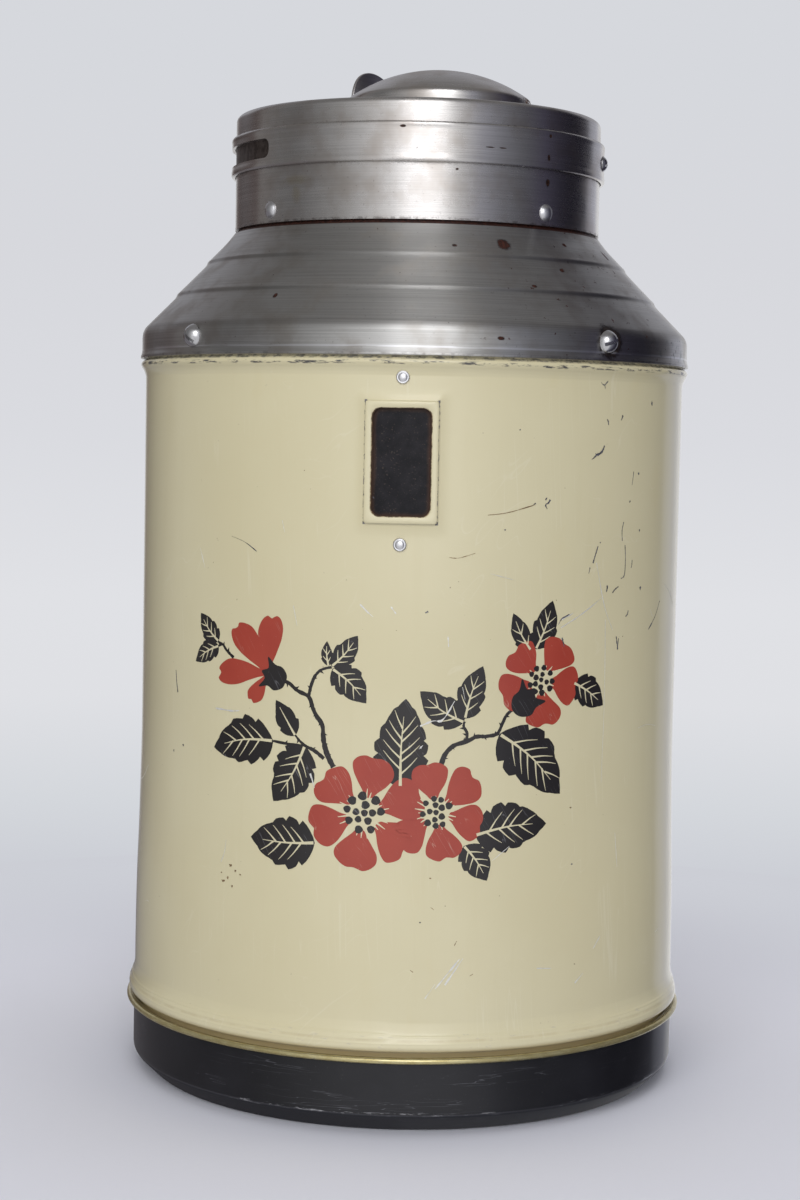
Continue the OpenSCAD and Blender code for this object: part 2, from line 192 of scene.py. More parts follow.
def edge_distance(poly, pts):
    p = np.asarray(poly, float)
    d = np.full(len(pts), 1e9)
    for i in range(len(p)):
        a, b = p[i - 1], p[i]
        ab = b - a
        t = np.clip(((pts - a) @ ab) / max(ab @ ab, 1e-12), 0, 1)
        d = np.minimum(d, np.linalg.norm(pts - (a + t[:, None] * ab), axis=1))
    return d


def fill(poly, holes=(), step=1.6):
    """Triangles of a flat outline with holes, with points inside so that it can follow a curve."""
    loops = [list(map(tuple, poly))] + [list(map(tuple, h)) for h in holes]
    vs, es = [], []
    for lp in loops:
        o = len(vs)
        vs += lp
        es += [(o + i, o + (i + 1) % len(lp)) for i in range(len(lp))]
    border = len(vs)
    p = np.asarray(poly, float)
    lo, hi = p.min(0), p.max(0)
    gx = np.arange(math.floor(lo[0] / step) * step, hi[0], step)
    gy = np.arange(math.floor(lo[1] / step) * step, hi[1], step * 1.5)
    if len(gx) and len(gy):
        g = np.array([(a, b) for a in gx for b in gy])
        ok = inside(poly, g) & (edge_distance(poly, g) > step * 0.3)
        for h in holes:
            ok &= ~inside(h, g) & (edge_distance(h, g) > step * 0.3)
        vs += [tuple(q) for q in g[ok]]
    r = delaunay_2d_cdt([Vector(q) for q in vs], es, [], 0, 1e-7)
    V = np.array([tuple(q) for q in r[0]])
    T = [tuple(t) for t in r[2]]
    C = np.array([V[list(t)].mean(0) for t in T])
    ok = inside(poly, C)
    for h in holes:
        ok &= ~inside(h, C)
    return V, [t for t, k in zip(T, ok) if k]


def signed_area(p):
    p = np.asarray(p, float)
    x, y = p[:, 0], p[:, 1]
    return 0.5 * float(np.sum(x * np.roll(y, -1) - np.roll(x, -1) * y))


def slab(poly, put, h0, h1, holes=(), step=1.6):
    """Closed solid over a flat outline; put(x, y, h) gives the 3-D place."""
    V, T = fill(poly, holes, step)
    n = len(V)
    v = [put(x, y, h1) for x, y in V] + [put(x, y, h0) for x, y in V]
    f = [tuple(t) for t in T] + [tuple(n + i for i in reversed(t)) for t in T]
    count = {}
    for t in T:
        for a, b in ((t[0], t[1]), (t[1], t[2]), (t[2], t[0])):
            count[(a, b)] = True
    for a, b in count:
        if (b, a) not in count:
            f.append((b, a, a + n, b + n))
    return v, f


def offset_loop(p, d):
    """Loop moved inward by d along its own normals (anticlockwise loop)."""
    p = np.asarray(p, float)
    t = np.roll(p, -1, 0) - np.roll(p, 1, 0)
    t /= np.linalg.norm(t, axis=1)[:, None]
    nrm = np.stack([-t[:, 1], t[:, 0]], 1)
    return p + nrm * d


def bevel_slab(poly, put, h0, h1, bev=0.15, step=1.0):
    """Closed plate with softened edges."""
    if signed_area(poly) < 0:
        poly = poly[::-1]
    inner = [tuple(q) for q in offset_loop(poly, bev)]
    mid = [tuple(q) for q in offset_loop(poly, bev * 0.3)]
    V, T = fill(inner, (), step)
    n, m = len(V), len(inner)
    idx = [int(np.argmin(np.sum((V - np.array(q)) ** 2, axis=1))) for q in inner]
    v = [put(x, y, h1) for x, y in V] + [put(x, y, h0) for x, y in V]
    f = [tuple(t) for t in T] + [tuple(n + i for i in reversed(t)) for t in T]
    rows = [idx]
    for loop, h in ((mid, h1 - bev * 0.3), (poly, h1 - bev), (poly, h0 + bev), (mid, h0 + bev * 0.3)):
        rows.append(list(range(len(v), len(v) + m)))
        v += [put(x, y, h) for x, y in loop]
    rows.append([i + n for i in idx])
    for a, b in zip(rows, rows[1:]):
        for i in range(m):
            j = (i + 1) % m
            f.append((a[i], a[j], b[j], b[i]))
    return v, f


def band(rout, rin, z_low, z_high, slot=None, n=360, cx=0.0, rows=(10, 8, 10)):
    """Upright round wall as a closed solid. rout and rin give the radius at a height. slot is
    (azimuth 1, azimuth 2, centre height, height, corner radius)."""
    if slot:
        a1, a2, zc, h, rc = slot
        rmid = rout(zc)
        w = math.degrees(rc / rmid)
        k = 7
        ends = [a1 + w * (1 - math.cos(math.pi / 2 * i / k)) for i in range(k + 1)]
        ends2 = [a2 - w * (1 - math.cos(math.pi / 2 * i / k)) for i in range(k + 1)][::-1]
        mid = list(np.linspace(ends[-1], ends2[0], max(3, int((a2 - a1) * n / 360)))[1:-1])
        rest = list(np.linspace(a2, a1 + 360, max(4, int((360 - a2 + a1) * n / 360)))[1:-1])
        cols = ends + mid + ends2 + rest
        hole = [False] * len(cols)
        for i in range(len(ends) + len(mid) + len(ends2) - 1):
            hole[i] = True

        def edge(a):
            d = min(a - a1, a2 - a) * math.pi / 180 * rmid if a1 <= a <= a2 else 0.0
            d = max(0.0, min(d, rc))
            e = math.sqrt(max(0.0, rc * rc - (rc - d) ** 2))
            return zc - h / 2 + rc - e, zc + h / 2 - rc + e
    else:
        cols = list(np.linspace(0, 360, n + 1)[:-1])
        hole = [False] * n
        zc = (z_low + z_high) / 2

        def edge(a):
            return zc - 0.1, zc + 0.1

    nb, nm, na = rows
    v, ids_o, ids_i, zz = [], [], [], []
    for a in cols:
        lo, hi = edge(a)
        t = 0.5 - 0.5 * np.cos(np.linspace(0, math.pi, nb + 1))
        t2 = 0.5 - 0.5 * np.cos(np.linspace(0, math.pi, na + 1))
        z = list(z_low + (lo - z_low) * t) + list(np.linspace(lo, hi, nm + 1)[1:-1]) + list(hi + (z_high - hi) * t2)
        ids_o.append(list(range(len(v), len(v) + len(z))))
        v += [cyl(a, float(rout(q)), q, cx) for q in z]
        ids_i.append(list(range(len(v), len(v) + len(z))))
        v += [cyl(a, float(rin(q)), q, cx) for q in z]
        zz.append(z)
    nr = len(zz[0])
    f = []
    C = len(cols)
    for i in range(C):
        j = (i + 1) % C
        for k in range(nr - 1):
            if hole[i] and nb <= k < nb + nm:
                continue
            f.append((ids_o[i][k], ids_o[j][k], ids_o[j][k + 1], ids_o[i][k + 1]))
            f.append((ids_i[i][k], ids_i[i][k + 1], ids_i[j][k + 1], ids_i[j][k]))
        f.append((ids_o[i][0], ids_i[i][0], ids_i[j][0], ids_o[j][0]))
        f.append((ids_o[i][-1], ids_o[j][-1], ids_i[j][-1], ids_i[i][-1]))
        if hole[i]:
            f.append((ids_o[i][nb], ids_o[j][nb], ids_i[j][nb], ids_i[i][nb]))
            f.append((ids_o[i][nb + nm], ids_i[i][nb + nm], ids_i[j][nb + nm], ids_o[j][nb + nm]))
    if slot:
        for i in (0, sum(hole)):
            for k in range(nb, nb + nm):
                f.append((ids_o[i][k], ids_o[i][k + 1], ids_i[i][k + 1], ids_i[i][k]))
    return v, f


# ---------------------------------------------------------------- material helpers
def lin(c):
    return tuple((x / 255 / 12.92) if x <= 10 else ((x / 255 + 0.055) / 1.055) ** 2.4 for x in c)


class Mat:
    def __init__(self, name):
        self.m = bpy.data.materials.new(name)
        self.m.use_nodes = True
        self.t = self.m.node_tree
        self.t.nodes.clear()
        self.out = self.t.nodes.new("ShaderNodeOutputMaterial")
        self.b = self.t.nodes.new("ShaderNodeBsdfPrincipled")
        self.t.links.new(self.b.outputs[0], self.out.inputs[0])
        tc = self.t.nodes.new("ShaderNodeTexCoord")
        sc = self.t.nodes.new("ShaderNodeVectorMath")
        sc.operation = "SCALE"
        self.t.links.new(tc.outputs["Object"], sc.inputs[0])
        sc.inputs["Scale"].default_value = 1000
        self.p = sc.outputs[0]
        sep = self.t.nodes.new("ShaderNodeSeparateXYZ")
        self.t.links.new(self.p, sep.inputs[0])
        self.x, self.y, self.z = sep.outputs
        self._r = self._az = None

    def _set(self, sock, v):
        if isinstance(v, bpy.types.NodeSocket):
            self.t.links.new(v, sock)
        elif isinstance(v, (tuple, list)) and len(v) == 3 and sock.type == "RGBA":
            sock.default_value = (*v, 1)
        else:
            sock.default_value = v

    def math(self, op, a, b=0.0, c=0.0, clamp=False):
        n = self.t.nodes.new("ShaderNodeMath")
        n.operation = op
        n.use_clamp = clamp
        for s, v in zip(n.inputs, (a, b, c)):
            self._set(s, v)
        return n.outputs[0]

    def mul(self, a, b):
        return self.math("MULTIPLY", a, b)

    def add(self, a, b):
        return self.math("ADD", a, b)

    def sub(self, a, b):
        return self.math("SUBTRACT", a, b)

    def r(self):
        if self._r is None:
            self._r = self.math("SQRT", self.add(self.mul(self.x, self.x), self.mul(self.y, self.y)))
        return self._r

    def az(self):
        """Azimuth in radians, 0 at the front, plus to the right."""
        if self._az is None:
            self._az = self.math("ARCTAN2", self.x, self.mul(self.y, -1.0))
        return self._az

    def vec(self, x, y, z):
        n = self.t.nodes.new("ShaderNodeCombineXYZ")
        for s, v in zip(n.inputs, (x, y, z)):
            self._set(s, v)
        return n.outputs[0]

    def noise(self, vec=None, scale=1.0, detail=2.0, rough=0.5, dist=0.0, off=0.0):
        n = self.t.nodes.new("ShaderNodeTexNoise")
        n.noise_dimensions = "3D"
        v = self.p if vec is None else vec
        if off:
            a = self.t.nodes.new("ShaderNodeVectorMath")
            a.operation = "ADD"
            self._set(a.inputs[0], v)
            a.inputs[1].default_value = (off, off * 0.37, off * 1.71)
            v = a.outputs[0]
        self._set(n.inputs["Vector"], v)
        n.inputs["Scale"].default_value = scale
        n.inputs["Detail"].default_value = detail
        n.inputs["Roughness"].default_value = rough
        n.inputs["Distortion"].default_value = dist
        return n.outputs[0]

    def step(self, v, lo, hi, a=0.0, b=1.0):
        n = self.t.nodes.new("ShaderNodeMapRange")
        n.interpolation_type = "SMOOTHSTEP"
        for s, q in zip(n.inputs, (v, lo, hi, a, b)):
            self._set(s, q)
        return n.outputs[0]

    def mix(self, fac, a, b, mode="MIX"):
        n = self.t.nodes.new("ShaderNodeMix")
        n.data_type = "RGBA"
        n.blend_type = mode
        self._set(n.inputs[0], fac)
        self._set(n.inputs[6], a)
        self._set(n.inputs[7], b)
        return n.outputs[2]

    def mixf(self, fac, a, b):
        n = self.t.nodes.new("ShaderNodeMix")
        n.data_type = "FLOAT"
        self._set(n.inputs[0], fac)
        self._set(n.inputs[2], a)
        self._set(n.inputs[3], b)
        return n.outputs[0]

    def band(self, v, c, half, soft):
        """1 within half of c, falling to 0 over soft."""
        return self.step(self.math("ABSOLUTE", self.sub(v, c)), half + soft, half)

    def dot(self, s0, z0, rs, rz, soft=0.35, rough=0.35, radius=BODY_R):
        """Soft blot at (arc length s0, height z0) in mm on a cylinder."""
        s = self.sub(self.mul(self.az(), radius), s0)
        z = self.sub(self.z, z0)
        d = self.math("SQRT", self.add(self.math("POWER", self.mul(s, 1 / rs), 2.0), self.math("POWER", self.mul(z, 1 / rz), 2.0)))
        d = self.add(d, self.mul(self.sub(self.noise(scale=1.1 / max(rs, rz) ** 0.5, detail=4, rough=0.65, off=s0 * 1.3 + z0), 0.5), 2 * rough))
        return self.step(d, 1.0, 1.0 - soft)

    def bump(self, height, dist, strength=1.0, prev=None):
        n = self.t.nodes.new("ShaderNodeBump")
        n.inputs["Strength"].default_value = strength
        n.inputs["Distance"].default_value = dist * MM
        self._set(n.inputs["Height"], height)
        if prev is not None:
            self._set(n.inputs["Normal"], prev)
        return n.outputs[0]

    def tangent(self):
        n = self.t.nodes.new("ShaderNodeTangent")
        n.direction_type = "RADIAL"
        n.axis = "Z"
        return n.outputs[0]

    def set(self, **kw):
        names = {
            "color": "Base Color", "metal": "Metallic", "rough": "Roughness", "ior": "IOR", "spec": "Specular IOR Level",
            "aniso": "Anisotropic", "aniso_rot": "Anisotropic Rotation", "tangent": "Tangent", "normal": "Normal", "coat": "Coat Weight",
            "coat_rough": "Coat Roughness", "coat_ior": "Coat IOR", "coat_normal": "Coat Normal",
        }
        for k, v in kw.items():
            self._set(self.b.inputs[names[k]], v)
        return self.m


def brushed(name, base, rough=0.27, aniso=0.55, streak=0.16, spots=None, grain=1.0, centre=(0.0, 0.0), extra=None):
    """Spun or rolled steel: fine lines round the axis, mottling, dark pits and thin rust."""
    m = Mat(name)
    x = m.sub(m.x, centre[0])
    y = m.sub(m.y, centre[1])
    r = m.math("SQRT", m.add(m.mul(x, x), m.mul(y, y)))
    k = m.sub(m.z, r)
    lines = m.noise(m.vec(m.mul(x, 0.02), m.mul(y, 0.02), m.mul(k, 4.2 * grain)), 1.0, 3, 0.6)
    fine = m.noise(m.vec(m.mul(x, 0.045), m.mul(y, 0.045), m.mul(k, 11.0 * grain)), 1.0, 2, 0.6, off=31)
    blot = m.noise(scale=0.09, detail=4, rough=0.6, off=7)
    speck = m.noise(scale=1.3, detail=3, rough=0.7, off=3)
    c = m.mix(m.step(lines, 0.3, 0.7), tuple(q * (1 - streak) for q in base), tuple(min(1, q * (1 + streak * 0.7)) for q in base))
    c = m.mix(m.mul(m.step(fine, 0.35, 0.75), 0.35), c, tuple(min(1, q * 1.15) for q in base))
    c = m.mix(m.mul(m.step(blot, 0.42, 0.72), 0.5), c, tuple(q * f for q, f in zip(base, (0.78, 0.70, 0.62))))
    c = m.mix(m.mul(m.step(speck, 0.66, 0.74), 0.55), c, (0.09, 0.07, 0.055))
    rg = m.add(m.add(rough - 0.06, m.mul(lines, 0.08)), m.mul(m.step(blot, 0.4, 0.75), 0.10))
    metal = 1.0
    if spots:
        mask, colour, matt = spots(m)
        c = m.mix(m.step(mask, 0.0, 0.72), c, colour)
        rg = m.mixf(mask, rg, matt)
        metal = m.sub(1.0, m.mul(m.step(mask, 0.45, 0.85), 0.8))
    if extra:
        c, rg = extra(m, c, rg)
    n = m.bump(m.add(m.mul(lines, 0.7), m.mul(fine, 0.3)), 0.012, 0.55)
    return m.set(color=c, metal=metal, rough=rg, aniso=aniso, aniso_rot=0.25, tangent=m.tangent(), normal=n)


def plain_metal(name, base, rough=0.3, dirt=0.3):
    m = Mat(name)
    a = m.noise(scale=0.8, detail=5, rough=0.6, off=5)
    b = m.noise(scale=6.0, detail=3, rough=0.6, off=9)
    c = m.mix(m.mul(m.step(a, 0.45, 0.75), dirt), base, tuple(q * 0.45 for q in base))
    c = m.mix(m.mul(m.step(b, 0.6, 0.72), dirt), c, (0.12, 0.09, 0.07))
    rg = m.add(rough, m.mul(m.sub(b, 0.5), 0.18))
    return m.set(color=c, metal=1.0, rough=rg, normal=m.bump(b, 0.02, 0.4))


# ---------------------------------------------------------------- materials
CREAM = (0.600, 0.552, 0.372)


def enamel(name="cream_enamel", base=CREAM, window=True):
    m = Mat(name)
    s = m.mul(m.az(), BODY_R)
    cloud = m.noise(scale=0.018, detail=3, rough=0.55, off=12)
    c = m.mix(m.step(cloud, 0.35, 0.7), tuple(q * f for q, f in zip(base, (0.985, 0.975, 0.95))), tuple(q * f for q, f in zip(base, (1.02, 1.02, 1.02))))
    streaks = m.noise(m.vec(m.mul(s, 0.28), m.mul(m.z, 0.02), 0.0), 1.0, 4, 0.6, off=4)
    c = m.mix(m.mul(m.step(streaks, 0.50, 0.78), 0.22), c, tuple(q * f for q, f in zip(base, (0.94, 0.92, 0.86))))
    # yellowed blots and faint drips
    blot = m.noise(m.vec(m.mul(s, 0.06), m.mul(m.z, 0.035), 1.0), 1.0, 5, 0.6, off=18)
    c = m.mix(m.mul(m.step(blot, 0.58, 0.74), 0.20), c, (0.60, 0.52, 0.30))
    # hair scratches: thin level sets of stretched, turned noise
    fine = None
    for i, (ax, bx, w, st) in enumerate(((0.9, 0.05, 0.010, 0.55), (0.35, 0.30, 0.008, 0.45), (0.10, 0.8, 0.006, 0.3))):
        u = m.add(m.mul(s, ax), m.mul(m.z, bx * (1 if i != 1 else -1)))
        v = m.add(m.mul(s, bx * 0.3), m.mul(m.z, 0.025 + 0.05 * i))
        n1 = m.noise(m.vec(u, v, 3.0 * i), 0.35, 1, 0.4, off=20 + 9 * i)
        ln = m.step(m.math("ABSOLUTE", m.sub(n1, 0.5)), w, 0.0)
        gate = m.step(m.noise(scale=0.05, detail=2, off=50 + 13 * i), 0.54, 0.64)
        ln = m.mul(m.mul(ln, gate), st)
        fine = ln if fine is None else m.math("MAXIMUM", fine, ln)
    c = m.mix(m.mul(fine, 0.30), c, (0.76, 0.74, 0.65))
    # tiny specks of dirt
    dirt = m.noise(scale=0.9, detail=2, rough=0.5, off=77)
    c = m.mix(m.mul(m.step(dirt, 0.775, 0.80), 0.7), c, (0.16, 0.11, 0.07))
    # worn upper bead: dark chips and a rubbed line on its crest
    zc = m.add(m.z, m.mul(m.sub(m.noise(m.vec(m.mul(s, 0.05), 0.0, 0.0), 1.0, 3, 0.6, off=2), 0.5), 0.9))
    crest = m.band(zc, 191.2, 0.20, 0.45)
    chips = m.step(m.noise(m.vec(m.mul(s, 0.20), m.mul(m.z, 1.0), 0.0), 1.0, 5, 0.72, off=61), 0.50, 0.58)
    worn = m.mul(crest, chips)
    under = m.mul(m.band(m.z, 192.5, 0.25, 0.35), m.step(m.noise(scale=0.5, detail=4, rough=0.7, off=66), 0.42, 0.60))
    worn = m.math("MAXIMUM", worn, m.mul(under, 0.8))
    c = m.mix(m.mul(m.step(m.math("ABSOLUTE", m.sub(m.z, 191.3)), 1.8, 0.5), m.mul(m.step(cloud, 0.3, 0.7), 0.25)), c, (0.50, 0.44, 0.27))
    # lower bead: painted shade, tan, darkening the bead's underside towards the fold; beige on the spigot below; a
    # painted shadow line under the bead at z 21.0; a broken tan line at z 24.15 and a few rubbed grey spots
    # painted shade: tan darkening on the underside of the bead
    c = m.mix(m.mul(m.step(m.z, 22.6, 21.4), 0.55), c, (0.36, 0.27, 0.12))
    c = m.mix(m.mul(m.step(m.z, 20.95, 20.8), 0.9), c, (0.42, 0.33, 0.17))
    # painted shadow: a thin dark line under the bead
    c = m.mix(m.mul(m.band(m.z, 21.02, 0.10, 0.15), 0.8), c, (0.10, 0.06, 0.03))
    low = m.mul(m.band(m.z, 24.0, 1.6, 0.8), m.step(m.noise(m.vec(m.mul(s, 0.35), m.mul(m.z, 1.2), 0.0), 1.0, 5, 0.7, off=34), 0.60, 0.68))
    c = m.mix(m.mul(low, 0.45), c, (0.42, 0.38, 0.33))
    line = m.mul(m.band(m.z, 24.15, 0.12, 0.35), m.step(m.noise(m.vec(m.mul(s, 0.15), 0.0, 0.0), 1.0, 3, 0.6, off=35), 0.35, 0.6))
    c = m.mix(m.mul(line, 0.30), c, (0.42, 0.34, 0.20))
    rust = None
    if window:
        # window frame: rusty opening edge, rubbed outer edge and dark corners, and a faint painted tan shade round the
        # frame
        sw = m.math("ABSOLUTE", m.sub(s, math.radians(WIN_AZ) * BODY_R))
        zw = m.math("ABSOLUTE", m.sub(m.z, WIN_Z))
        qx, qz = m.sub(sw, 5.05), m.sub(zw, 11.05)
        q = m.math("SQRT", m.add(m.math("POWER", m.math("MAXIMUM", qx, 0.0), 2.0), m.math("POWER", m.math("MAXIMUM", qz, 0.0), 2.0)))
        q = m.add(m.sub(q, 2.1), m.math("MINIMUM", m.math("MAXIMUM", qx, qz), 0.0))
        qo = m.math("MAXIMUM", m.sub(sw, 9.02), m.sub(zw, 15.02))
        nn = m.noise(scale=0.9, detail=5, rough=0.7, off=91)
        rust = m.step(m.add(q, m.mul(m.sub(nn, 0.5), 0.8)), 0.30, 0.05)
        rust = m.mul(rust, m.step(q, -2.0, -1.9))
        c = m.mix(m.mul(rust, 0.92), c, m.mix(m.step(nn, 0.42, 0.6), (0.060, 0.030, 0.018), (0.23, 0.095, 0.035)))
        edge = m.step(m.math("ABSOLUTE", qo), 0.30, 0.10)
        side = m.step(m.sub(m.sub(sw, 9.02), m.sub(zw, 15.02)), -0.25, 0.0)
        corner = m.mul(m.step(sw, 8.1, 8.8), m.step(zw, 14.3, 14.9))
        amount = m.add(m.mul(side, 0.32), m.mul(corner, 0.6))
        n2 = m.noise(scale=0.75, detail=5, rough=0.75, off=95)
        wear = m.mul(edge, m.step(m.add(n2, m.mul(m.sub(amount, 0.3), 0.5)), 0.52, 0.60))
        worn = m.math("MAXIMUM", worn, wear)
        # painted shade: a faint tan darkening round the frame, out to about 2.6 mm
        halo = m.mul(m.step(qo, 2.6, 0.1), m.step(qo, -0.4, 0.2))
        c = m.mix(m.mul(halo, 0.16), c, (0.50, 0.43, 0.25))
    c = m.mix(m.mul(worn, 0.93), c, m.mix(m.step(chips, 0.2, 0.9), (0.10, 0.10, 0.12), (0.045, 0.045, 0.055)))
    rg = m.add(0.30, m.mul(m.sub(cloud, 0.5), 0.1))
    rg = m.mixf(worn, rg, 0.55)
    micro = m.noise(scale=0.35, detail=3, rough=0.5, off=40)
    n = m.bump(m.sub(m.mul(micro, 0.6), m.mul(worn, 1.2)), 0.02, 0.6)
    nc = m.bump(m.add(micro, m.mul(fine, 0.4)), 0.010, 0.5)
    return m.set(color=c, rough=rg, normal=n, spec=0.25, coat=1.0, coat_rough=0.05, coat_ior=1.45, coat_normal=nc)


def ink(name, a, b, scuff):
    """Printed or lacquered colour on the enamel."""
    m = Mat(name)
    s = m.mul(m.az(), BODY_R)
    n1 = m.noise(scale=0.06, detail=4, rough=0.6, off=8)
    c = m.mix(m.step(n1, 0.35, 0.7), a, b)
    sc = m.noise(m.vec(m.add(m.mul(s, 0.8), m.mul(m.z, 0.5)), m.mul(m.sub(m.z, s), 0.06), 0.0), 0.5, 2, 0.5, off=15)
    ln = m.mul(m.step(m.math("ABSOLUTE", m.sub(sc, 0.5)), 0.010, 0.0), m.step(m.noise(scale=0.10, detail=2, off=5), 0.50, 0.62))
    c = m.mix(m.mul(ln, 0.45), c, scuff)
    sp = m.noise(scale=2.2, detail=2, rough=0.6, off=25)
    c = m.mix(m.mul(m.step(sp, 0.73, 0.76), 0.5), c, scuff)
    n = m.bump(m.noise(scale=0.35, detail=3, rough=0.5, off=40), 0.012, 0.5)
    return m.set(color=c, rough=m.add(0.28, m.mul(n1, 0.1)), normal=n, spec=0.35, coat=0.8, coat_rough=0.08, coat_ior=1.5)


def chip_metal(name, a, b):
    m = Mat(name)
    n1 = m.noise(scale=1.6, detail=4, rough=0.7, off=6)
    return m.set(color=m.mix(m.step(n1, 0.4, 0.6), a, b), metal=0.35, rough=m.add(0.4, m.mul(n1, 0.2)), normal=m.bump(n1, 0.02, 0.5))


def black_lid():
    m = Mat("black_lid_enamel")
    s = m.mul(m.az(), 74.5)
    n1 = m.noise(scale=0.05, detail=4, rough=0.6, off=3)
    c = m.mix(m.step(n1, 0.35, 0.7), (0.0085, 0.0085, 0.0105), (0.013, 0.013, 0.016))
    dust = m.noise(scale=2.6, detail=2, rough=0.6, off=14)
    c = m.mix(m.mul(m.step(dust, 0.70, 0.76), 0.25), c, (0.20, 0.19, 0.19))
    sc = m.noise(m.vec(m.mul(s, 0.05), m.mul(m.z, 0.9), 0.0), 1.0, 2, 0.5, off=21)
    ln = m.mul(m.step(m.math("ABSOLUTE", m.sub(sc, 0.5)), 0.012, 0.0), m.step(m.noise(m.vec(m.mul(s, 0.05), m.mul(m.z, 0.2), 0.0), 1.0, 2, off=22), 0.52, 0.66))
    c = m.mix(m.mul(ln, 0.35), c, (0.22, 0.22, 0.25))
    # rubbed edge where the wall turns under, and an even lighter line all round it at z 5.0, part wear and part painted
    # highlight
    zc = m.add(m.z, m.mul(m.sub(m.noise(m.vec(m.mul(s, 0.10), m.mul(m.z, 0.5), 0.0), 1.0, 5, 0.7, off=33), 0.5), 1.5))
    e = m.band(zc, 5.2, 0.12, 0.35)
    g = m.step(m.noise(m.vec(m.mul(s, 0.22), m.mul(m.z, 1.6), 0.0), 1.0, 5, 0.75, off=36), 0.53, 0.60)
    run = m.step(m.noise(m.vec(m.mul(s, 0.035), 0.0, 0.0), 1.0, 2, 0.5, off=39), 0.42, 0.58)
    edge = m.mul(m.mul(e, g), run)
    c = m.mix(m.mul(edge, 0.85), c, (0.40, 0.40, 0.42))
    # painted highlight with wear: a lighter grey line all round the edge
    c = m.mix(m.mul(m.band(m.z, 5.0, 0.10, 0.25), 0.22), c, (0.12, 0.12, 0.14))
    # gold enamel on the curl
    gold = m.step(m.z, 18.2, 18.3)
    gn = m.noise(m.vec(m.mul(s, 0.3), m.mul(m.z, 1.1), 0.0), 1.0, 5, 0.7, off=44)
    gc = m.mix(m.step(gn, 0.35, 0.65), (0.50, 0.42, 0.19), (0.62, 0.55, 0.30))
    scf = m.mul(m.step(gn, 0.60, 0.66), m.step(m.z, 19.3, 18.7))
    gc = m.mix(m.mul(scf, 0.8), gc, (0.20, 0.19, 0.20))
    c = m.mix(gold, c, gc)
    turn = m.step(m.z, 5.3, 4.6)
    c = m.mix(m.mul(turn, 0.6), c, (0.022, 0.023, 0.030))
    rg = m.mixf(gold, m.add(0.30, m.mul(n1, 0.15)), 0.26)
    rg = m.mixf(turn, rg, 0.62)
    rg = m.mixf(edge, rg, 0.5)
    n = m.bump(m.add(m.noise(scale=0.6, detail=3, off=60), m.mul(edge, 0.6)), 0.015, 0.5)
    return m.set(color=c, metal=m.mul(gold, 0.75), rough=rg, normal=n, spec=0.35, coat=m.mixf(turn, 0.35, 0.05), coat_rough=0.10, coat_ior=1.45)


def dark_pane():
    m = Mat("dark_pane")
    n1 = m.noise(scale=0.25, detail=5, rough=0.65, off=2)
    c = m.mix(m.step(n1, 0.35, 0.7), (0.0045, 0.0045, 0.0065), (0.0125, 0.0115, 0.0145))
    sp = m.noise(scale=2.4, detail=3, rough=0.65, off=4)
    c = m.mix(m.mul(m.step(sp, 0.62, 0.70), 0.45), c, (0.16, 0.12, 0.09))
    sw = m.math("ABSOLUTE", m.sub(m.mul(m.az(), BODY_R), math.radians(WIN_AZ) * BODY_R))
    zw = m.math("ABSOLUTE", m.sub(m.z, WIN_Z))
    qx, qz = m.sub(sw, 5.05), m.sub(zw, 11.05)
    q = m.math("SQRT", m.add(m.math("POWER", m.math("MAXIMUM", qx, 0.0), 2.0), m.math("POWER", m.math("MAXIMUM", qz, 0.0), 2.0)))
    q = m.add(m.sub(q, 2.1), m.math("MINIMUM", m.math("MAXIMUM", qx, qz), 0.0))
    c = m.mix(m.mul(m.step(m.add(q, m.mul(m.sub(n1, 0.5), 1.4)), -1.2, 0.0), 0.35), c, (0.10, 0.045, 0.022))
    return m.set(color=c, rough=m.add(0.28, m.mul(sp, 0.25)), normal=m.bump(sp, 0.02, 0.5), spec=0.22)


def plastic(name, a, b, rough=0.45):
    m = Mat(name)
    n1 = m.noise(scale=0.3, detail=5, rough=0.65, off=2)
    n2 = m.noise(scale=3.5, detail=3, rough=0.6, off=5)
    c = m.mix(m.step(n1, 0.3, 0.7), a, b)
    c = m.mix(m.mul(m.step(n2, 0.62, 0.72), 0.3), c, tuple(q * 0.4 for q in a))
    return m.set(color=c, rough=m.add(rough, m.mul(m.sub(n2, 0.5), 0.2)), normal=m.bump(n2, 0.03, 0.5))


